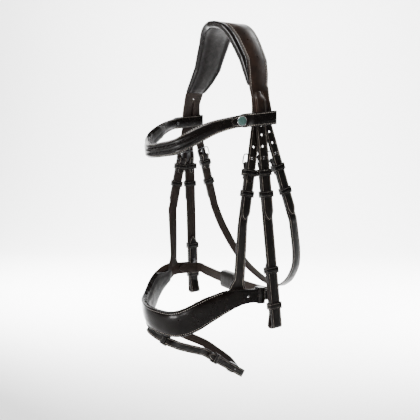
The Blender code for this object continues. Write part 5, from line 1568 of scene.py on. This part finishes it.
def keepers():
    for key, spec in SPECS.items():
        for kind, distance, plies, body in (
                ("upper", spec.bar + FIXED_KEEPER_DROP, 2, BODY_OF[key]),
                ("lower", RUNNER_AT, 1, "runner_" + key)):
            obj = keeper(key + "_keeper_" + kind, LINES[key], distance, spec.width,
                         PLY_LOW - STEP * plies, PLY_HIGH)
            place_both(obj, body, "keeper_" + key + "_" + kind)
    obj = keeper("bit_runner", LINES["cheek"], BIT_RUNNER_AT, CHEEK.width,
                 PLY_LOW - STEP - BIT_PLY_STEP, PLY_HIGH - STEP)
    place_both(obj, "runner_bit", "keeper_bit")
    obj = keeper("chin_loop", LINES["chin"], CHIN_BAR + CHIN_KEEPER_DROP, NOSE_END_HEIGHT,
                 PLY_LOW - STEP * 2, PLY_HIGH, CHIN_KEEPER_HEIGHT)
    place(obj, "noseband", "chin_keeper")


# Chin strap and its pad
CHIN_PAD_SEAM_SHARE = 0.82
CHIN_PAD_MARKS = (0.7, CHIN_PAD_SEAM_SHARE, 0.9, 0.95, 0.985, 1.0)
CHIN_PAD_SIDES = arc(1.0, 15, 375, 40)[:-1]
CHIN_PAD_SQUARENESS = 0.48


def chin():
    """From the buckle at the left end round behind the jaw to the right end."""
    line = LINES["chin"]
    straight = (CHIN_BACK_Y - CHIN_CORNER - NOSE_REAR.y) / line.along.y
    start = line.path(fold_pairs(CHIN_BAR) + [(straight, -STEP)])
    turned = start.points[-1]
    centre = Vector((turned.x - CHIN_CORNER, turned.y, turned.z))
    corner = [centre + Vector((x, y, 0.0)) for x, y in arc(CHIN_CORNER, 0, 90, 12)[1:]]
    back = [Vector((centre.x * 0.86, CHIN_BACK_Y, (CHIN_SAG_Z + centre.z) / 2)),
            Vector((CHIN_PAD_LENGTH, CHIN_BACK_Y, CHIN_SAG_Z))]
    lap = [flip(line.point(straight, 0.0, -STEP)),
           flip(line.point(NOSE_END_LENGTH - CHIN_END_LAP, 0.0, -STEP))]
    points = start.points + corner + back
    points += [flip(point) for point in reversed(corner + back)] + lap
    path = Path(points, (0.0, 0.0, 1.0))
    skin = Skin()
    strip(skin, path, strap_rows(path, CHIN_WIDTH, CHIN_NECK))
    place(skin.object("chin_strap_run", [STRAP]), "noseband", "chin_strap")


def chin_cushion():
    """A soft sleeve round the strap, sewn at both ends."""
    centre = Vector((0.0, CHIN_BACK_Y, CHIN_SAG_Z))
    length = CHIN_PAD_LENGTH / 2
    marks = [-mark for mark in reversed(CHIN_PAD_MARKS)] + [n / 10 for n in range(-6, 7)]
    sections = []
    for x in marks + list(CHIN_PAD_MARKS):
        ending = 1 - min((1 - abs(x)) / 0.12, 1.0)
        share = 0.76 + 0.24 * math.sqrt(max(0.0, 1 - ending ** 2))
        sewn = 0.10 if abs(abs(x) - CHIN_PAD_SEAM_SHARE) < 0.02 else 0.0
        high = CHIN_PAD_HEIGHT / 2 * (share * 0.4 + 0.6)
        section = []
        for y, z in CHIN_PAD_SIDES:
            flat_y = math.copysign(abs(y) ** CHIN_PAD_SQUARENESS, y)
            flat_z = math.copysign(abs(z) ** CHIN_PAD_SQUARENESS, z)
            reach = LEATHER / 2 + (CHIN_PAD_BACK if y > 0 else CHIN_PAD_FRONT) * (share - sewn)
            reach += ripple(x * 9, y * 3, z * 3, 0.0004)
            section.append((centre + Vector((length * x, reach * flat_y, high * flat_z)),
                            PLAIN_EDGE, 1.0))
        sections.append(section)
    inner = CHIN_WIDTH / 2 + CHIN_SLOT_CLEAR
    thick = LEATHER / 2 + CHIN_SLOT_CLEAR
    for x in (1.0, -1.0):
        section = []
        for y, z in CHIN_PAD_SIDES:
            scale = 1.0 / max(abs(y), abs(z))
            inside = Vector((length * x, thick * y * scale, inner * z * scale))
            section.append((centre + inside, PLAIN_EDGE, 0.5))
        sections.append(section)
    skin = Skin()
    skin.loft(sections, closed=True)
    place(skin.object("chin_cushion", [STRAP], 60), "chin_pad", "chin_pad", "soft_lining", 0.7)


# Flash strap
FLASH_REACH_SHARE = 0.54
FLASH_EDGE_SHARE = 1.15


def flash():
    """The closed strap with its keeper, and the leather loop that it hangs in."""
    line = LINES["flash"]
    ring_line = LINES["ring"]
    start = line.path(fold_pairs(FLASH_BAR, FLASH_TURN_BACK) + [(FLASH_STRAIGHT, -STEP)])
    reach = FLASH_RING_LENGTH * FLASH_REACH_SHARE
    edge = reach * FLASH_EDGE_SHARE
    run = start.points[-2:] + [flash_place(*row) for row in FLASH_NEAR_SHARES]
    run += [ring_line.point(mark) for mark in (-edge, -reach, 0.0, reach, edge)]
    run += [flash_place(*row) for row in FLASH_FAR_SHARES]
    run.append(line.point(0.0, 0.0, -4 * STEP))
    curve = smooth(run, 8)[9:-1]
    turn = [line.point(-up, 0.0, -2 * STEP + out) for out, up in arc(2 * STEP, 180, 0, 14)]
    tip = [line.point(FLASH_BAR * 1.5), line.point(FLASH_TIP_AT)]
    path = Path(start.points + curve + turn + tip, line.across)
    skin = Skin()
    strip(skin, path, strap_rows(path, FLASH_WIDTH, FLASH_NECK), step=0.002)
    ring(skin, line, FLASH_KEEPER_AT, FLASH_WIDTH, PLY_LOW - STEP, PLY_HIGH)
    place(skin.object("flash_strap_run", [STRAP]), "flash", "flash_strap")
    skin = Skin()
    ring(skin, ring_line, 0.0, FLASH_WIDTH, PLY_LOW, PLY_HIGH, FLASH_RING_LENGTH)
    end = ring_line.point(0.0, -FLASH_WIDTH * 0.3, PLY_HIGH + KEEPER_WALL * 0.7)
    hang = Path(smooth([FLASH_HINGE, FLASH_HINGE.lerp(end, 0.5), end], 6), (1.0, 0.0, 0.0))
    half = FLASH_RING_LENGTH / 2
    strip(skin, hang, [(0.0, -half, half), (hang.length, -half, half)], TAB_LEATHER, 0.0015)
    place(skin.object("flash_hanger", [STRAP]), "flash", "flash_loop")


METAL_WORDS = ("buckle", "tongue", "stud")


def metalwork():
    """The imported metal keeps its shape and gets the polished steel."""
    for name, obj in nodes.items():
        if any(word in name for word in METAL_WORDS):
            obj.data.materials.clear()
            obj.data.materials.append(STEEL)


crown()
crown_pad()
browband()
browband_pad()
browband_tabs()
snap_caps()
noseband()
noseband_pad()
for strap_key in SPECS:
    billets(strap_key)
cheekpieces()
hangers()
throat()
keepers()
chin()
chin_cushion()
flash()
metalwork()


# Studio. The camera was fitted to the photograph's frame of 420 pixels.
CAMERA_AZIMUTH = 1.06275
CAMERA_ELEVATION = 0.11003
CAMERA_ROLL = 0.00765
CAMERA_PLACE = (0.85448, -0.49885, -0.1589)
SENSOR_WIDTH = 36.0
FOCAL_PIXELS = 650.0
FRAME_PIXELS = 420.0
CAMERA_CLIP = (0.05, 60.0)
FLOOR_Z = -0.80
SWEEP_AZIMUTH = math.radians(60.9)
SWEEP_START = 2.6
SWEEP_RADIUS = 1.6
SWEEP_HALF_WIDTH = 9.0
SWEEP_FRONT = -8.0
SWEEP_TOP = 6.0
WORLD_STRENGTH = 0.14
# Each light's name, place, target, size and power
LIGHTS = (
    ("key", (0.35, -1.15, 1.45), (0.0, -0.03, -0.25), (0.8, 0.5), 46),
    ("rim", (-0.5, 1.6, 0.8), (0.0, 0.0, -0.25), (0.4, 1.2), 14),
    ("front", (-1.0, -1.6, 0.3), (0.0, 0.0, -0.25), (0.3, 1.2), 6),
    ("near_front", (0.10, -1.8, -0.60), (0.0, -0.05, -0.40), (0.6, 0.12), 15),
    ("backdrop_left", (-1.6, 0.0, 0.6), (-2.2, 1.6, 0.0), (1.2, 1.6), 320),
    ("backdrop_right", (-0.2, 1.7, 0.6), (-2.0, 2.2, 0.0), (1.2, 1.6), 320),
)


def area(name, position, target, size, power):
    data = bpy.data.lights.new(name, "AREA")
    data.shape = "RECTANGLE"
    data.size, data.size_y = size
    data.energy = power
    lamp = bpy.data.objects.new(name, data)
    lamp.location = position
    toward = Vector(target) - Vector(position)
    lamp.rotation_euler = toward.to_track_quat("-Z", "Y").to_euler()
    bpy.context.scene.collection.objects.link(lamp)


def studio_floor():
    """A pale floor that curves up into the backdrop, square to the view."""
    bend = arc(SWEEP_RADIUS, -90, 0, 12)
    profile = [(SWEEP_FRONT, FLOOR_Z)]
    profile += [(SWEEP_START + x, FLOOR_Z + SWEEP_RADIUS + y) for x, y in bend]
    profile.append((SWEEP_START + SWEEP_RADIUS, SWEEP_TOP))
    away = Vector((-math.sin(SWEEP_AZIMUTH), math.cos(SWEEP_AZIMUTH), 0.0))
    side = Vector((math.cos(SWEEP_AZIMUTH), math.sin(SWEEP_AZIMUTH), 0.0))
    points = [away * reach + side * across + Vector((0.0, 0.0, height))
              for reach, height in profile for across in (-SWEEP_HALF_WIDTH, SWEEP_HALF_WIDTH)]
    faces = [(2 * n, 2 * n + 1, 2 * n + 3, 2 * n + 2) for n in range(len(profile) - 1)]
    mesh = bpy.data.meshes.new("studio_sweep")
    mesh.from_pydata(points, [], faces)
    mesh.polygons.foreach_set("use_smooth", [True] * len(faces))
    sweep = bpy.data.objects.new("studio_sweep", mesh)
    bpy.context.scene.collection.objects.link(sweep)
    paper = Surface("studio_paper", roughness=0.9, specular=0.1)
    for socket, value in (("Base Color", (0.93, 0.93, 0.93)), ("Emission Color", (1.0, 1.0, 1.0)),
                          ("Emission Strength", 0.12)):
        paper.feed(paper.shader.inputs[socket], value)
    mesh.materials.append(paper.material)


def camera():
    flat = math.cos(CAMERA_ELEVATION)
    back = Vector((math.sin(CAMERA_AZIMUTH) * flat, -math.cos(CAMERA_AZIMUTH) * flat,
                   math.sin(CAMERA_ELEVATION)))
    right = Vector((math.cos(CAMERA_AZIMUTH), math.sin(CAMERA_AZIMUTH), 0.0))
    up = back.cross(right)
    cos_roll, sin_roll = math.cos(CAMERA_ROLL), math.sin(CAMERA_ROLL)
    right, up = right * cos_roll + up * sin_roll, up * cos_roll - right * sin_roll
    data = bpy.data.cameras.new("camera")
    data.sensor_fit = "HORIZONTAL"
    data.sensor_width = SENSOR_WIDTH
    data.lens = SENSOR_WIDTH * FOCAL_PIXELS / FRAME_PIXELS
    data.clip_start, data.clip_end = CAMERA_CLIP
    obj = bpy.data.objects.new("camera", data)
    rotation = Matrix((right, up, back)).transposed()
    obj.matrix_world = Matrix.Translation(Vector(CAMERA_PLACE)) @ rotation.to_4x4()
    bpy.context.scene.collection.objects.link(obj)
    bpy.context.scene.camera = obj


studio_floor()
camera()
world = bpy.data.worlds.new("studio")
world.use_nodes = True
background = world.node_tree.nodes["Background"]
background.inputs["Color"].default_value = (1.0, 1.0, 1.0, 1.0)
background.inputs["Strength"].default_value = WORLD_STRENGTH
bpy.context.scene.world = world
for light in LIGHTS:
    area(*light)
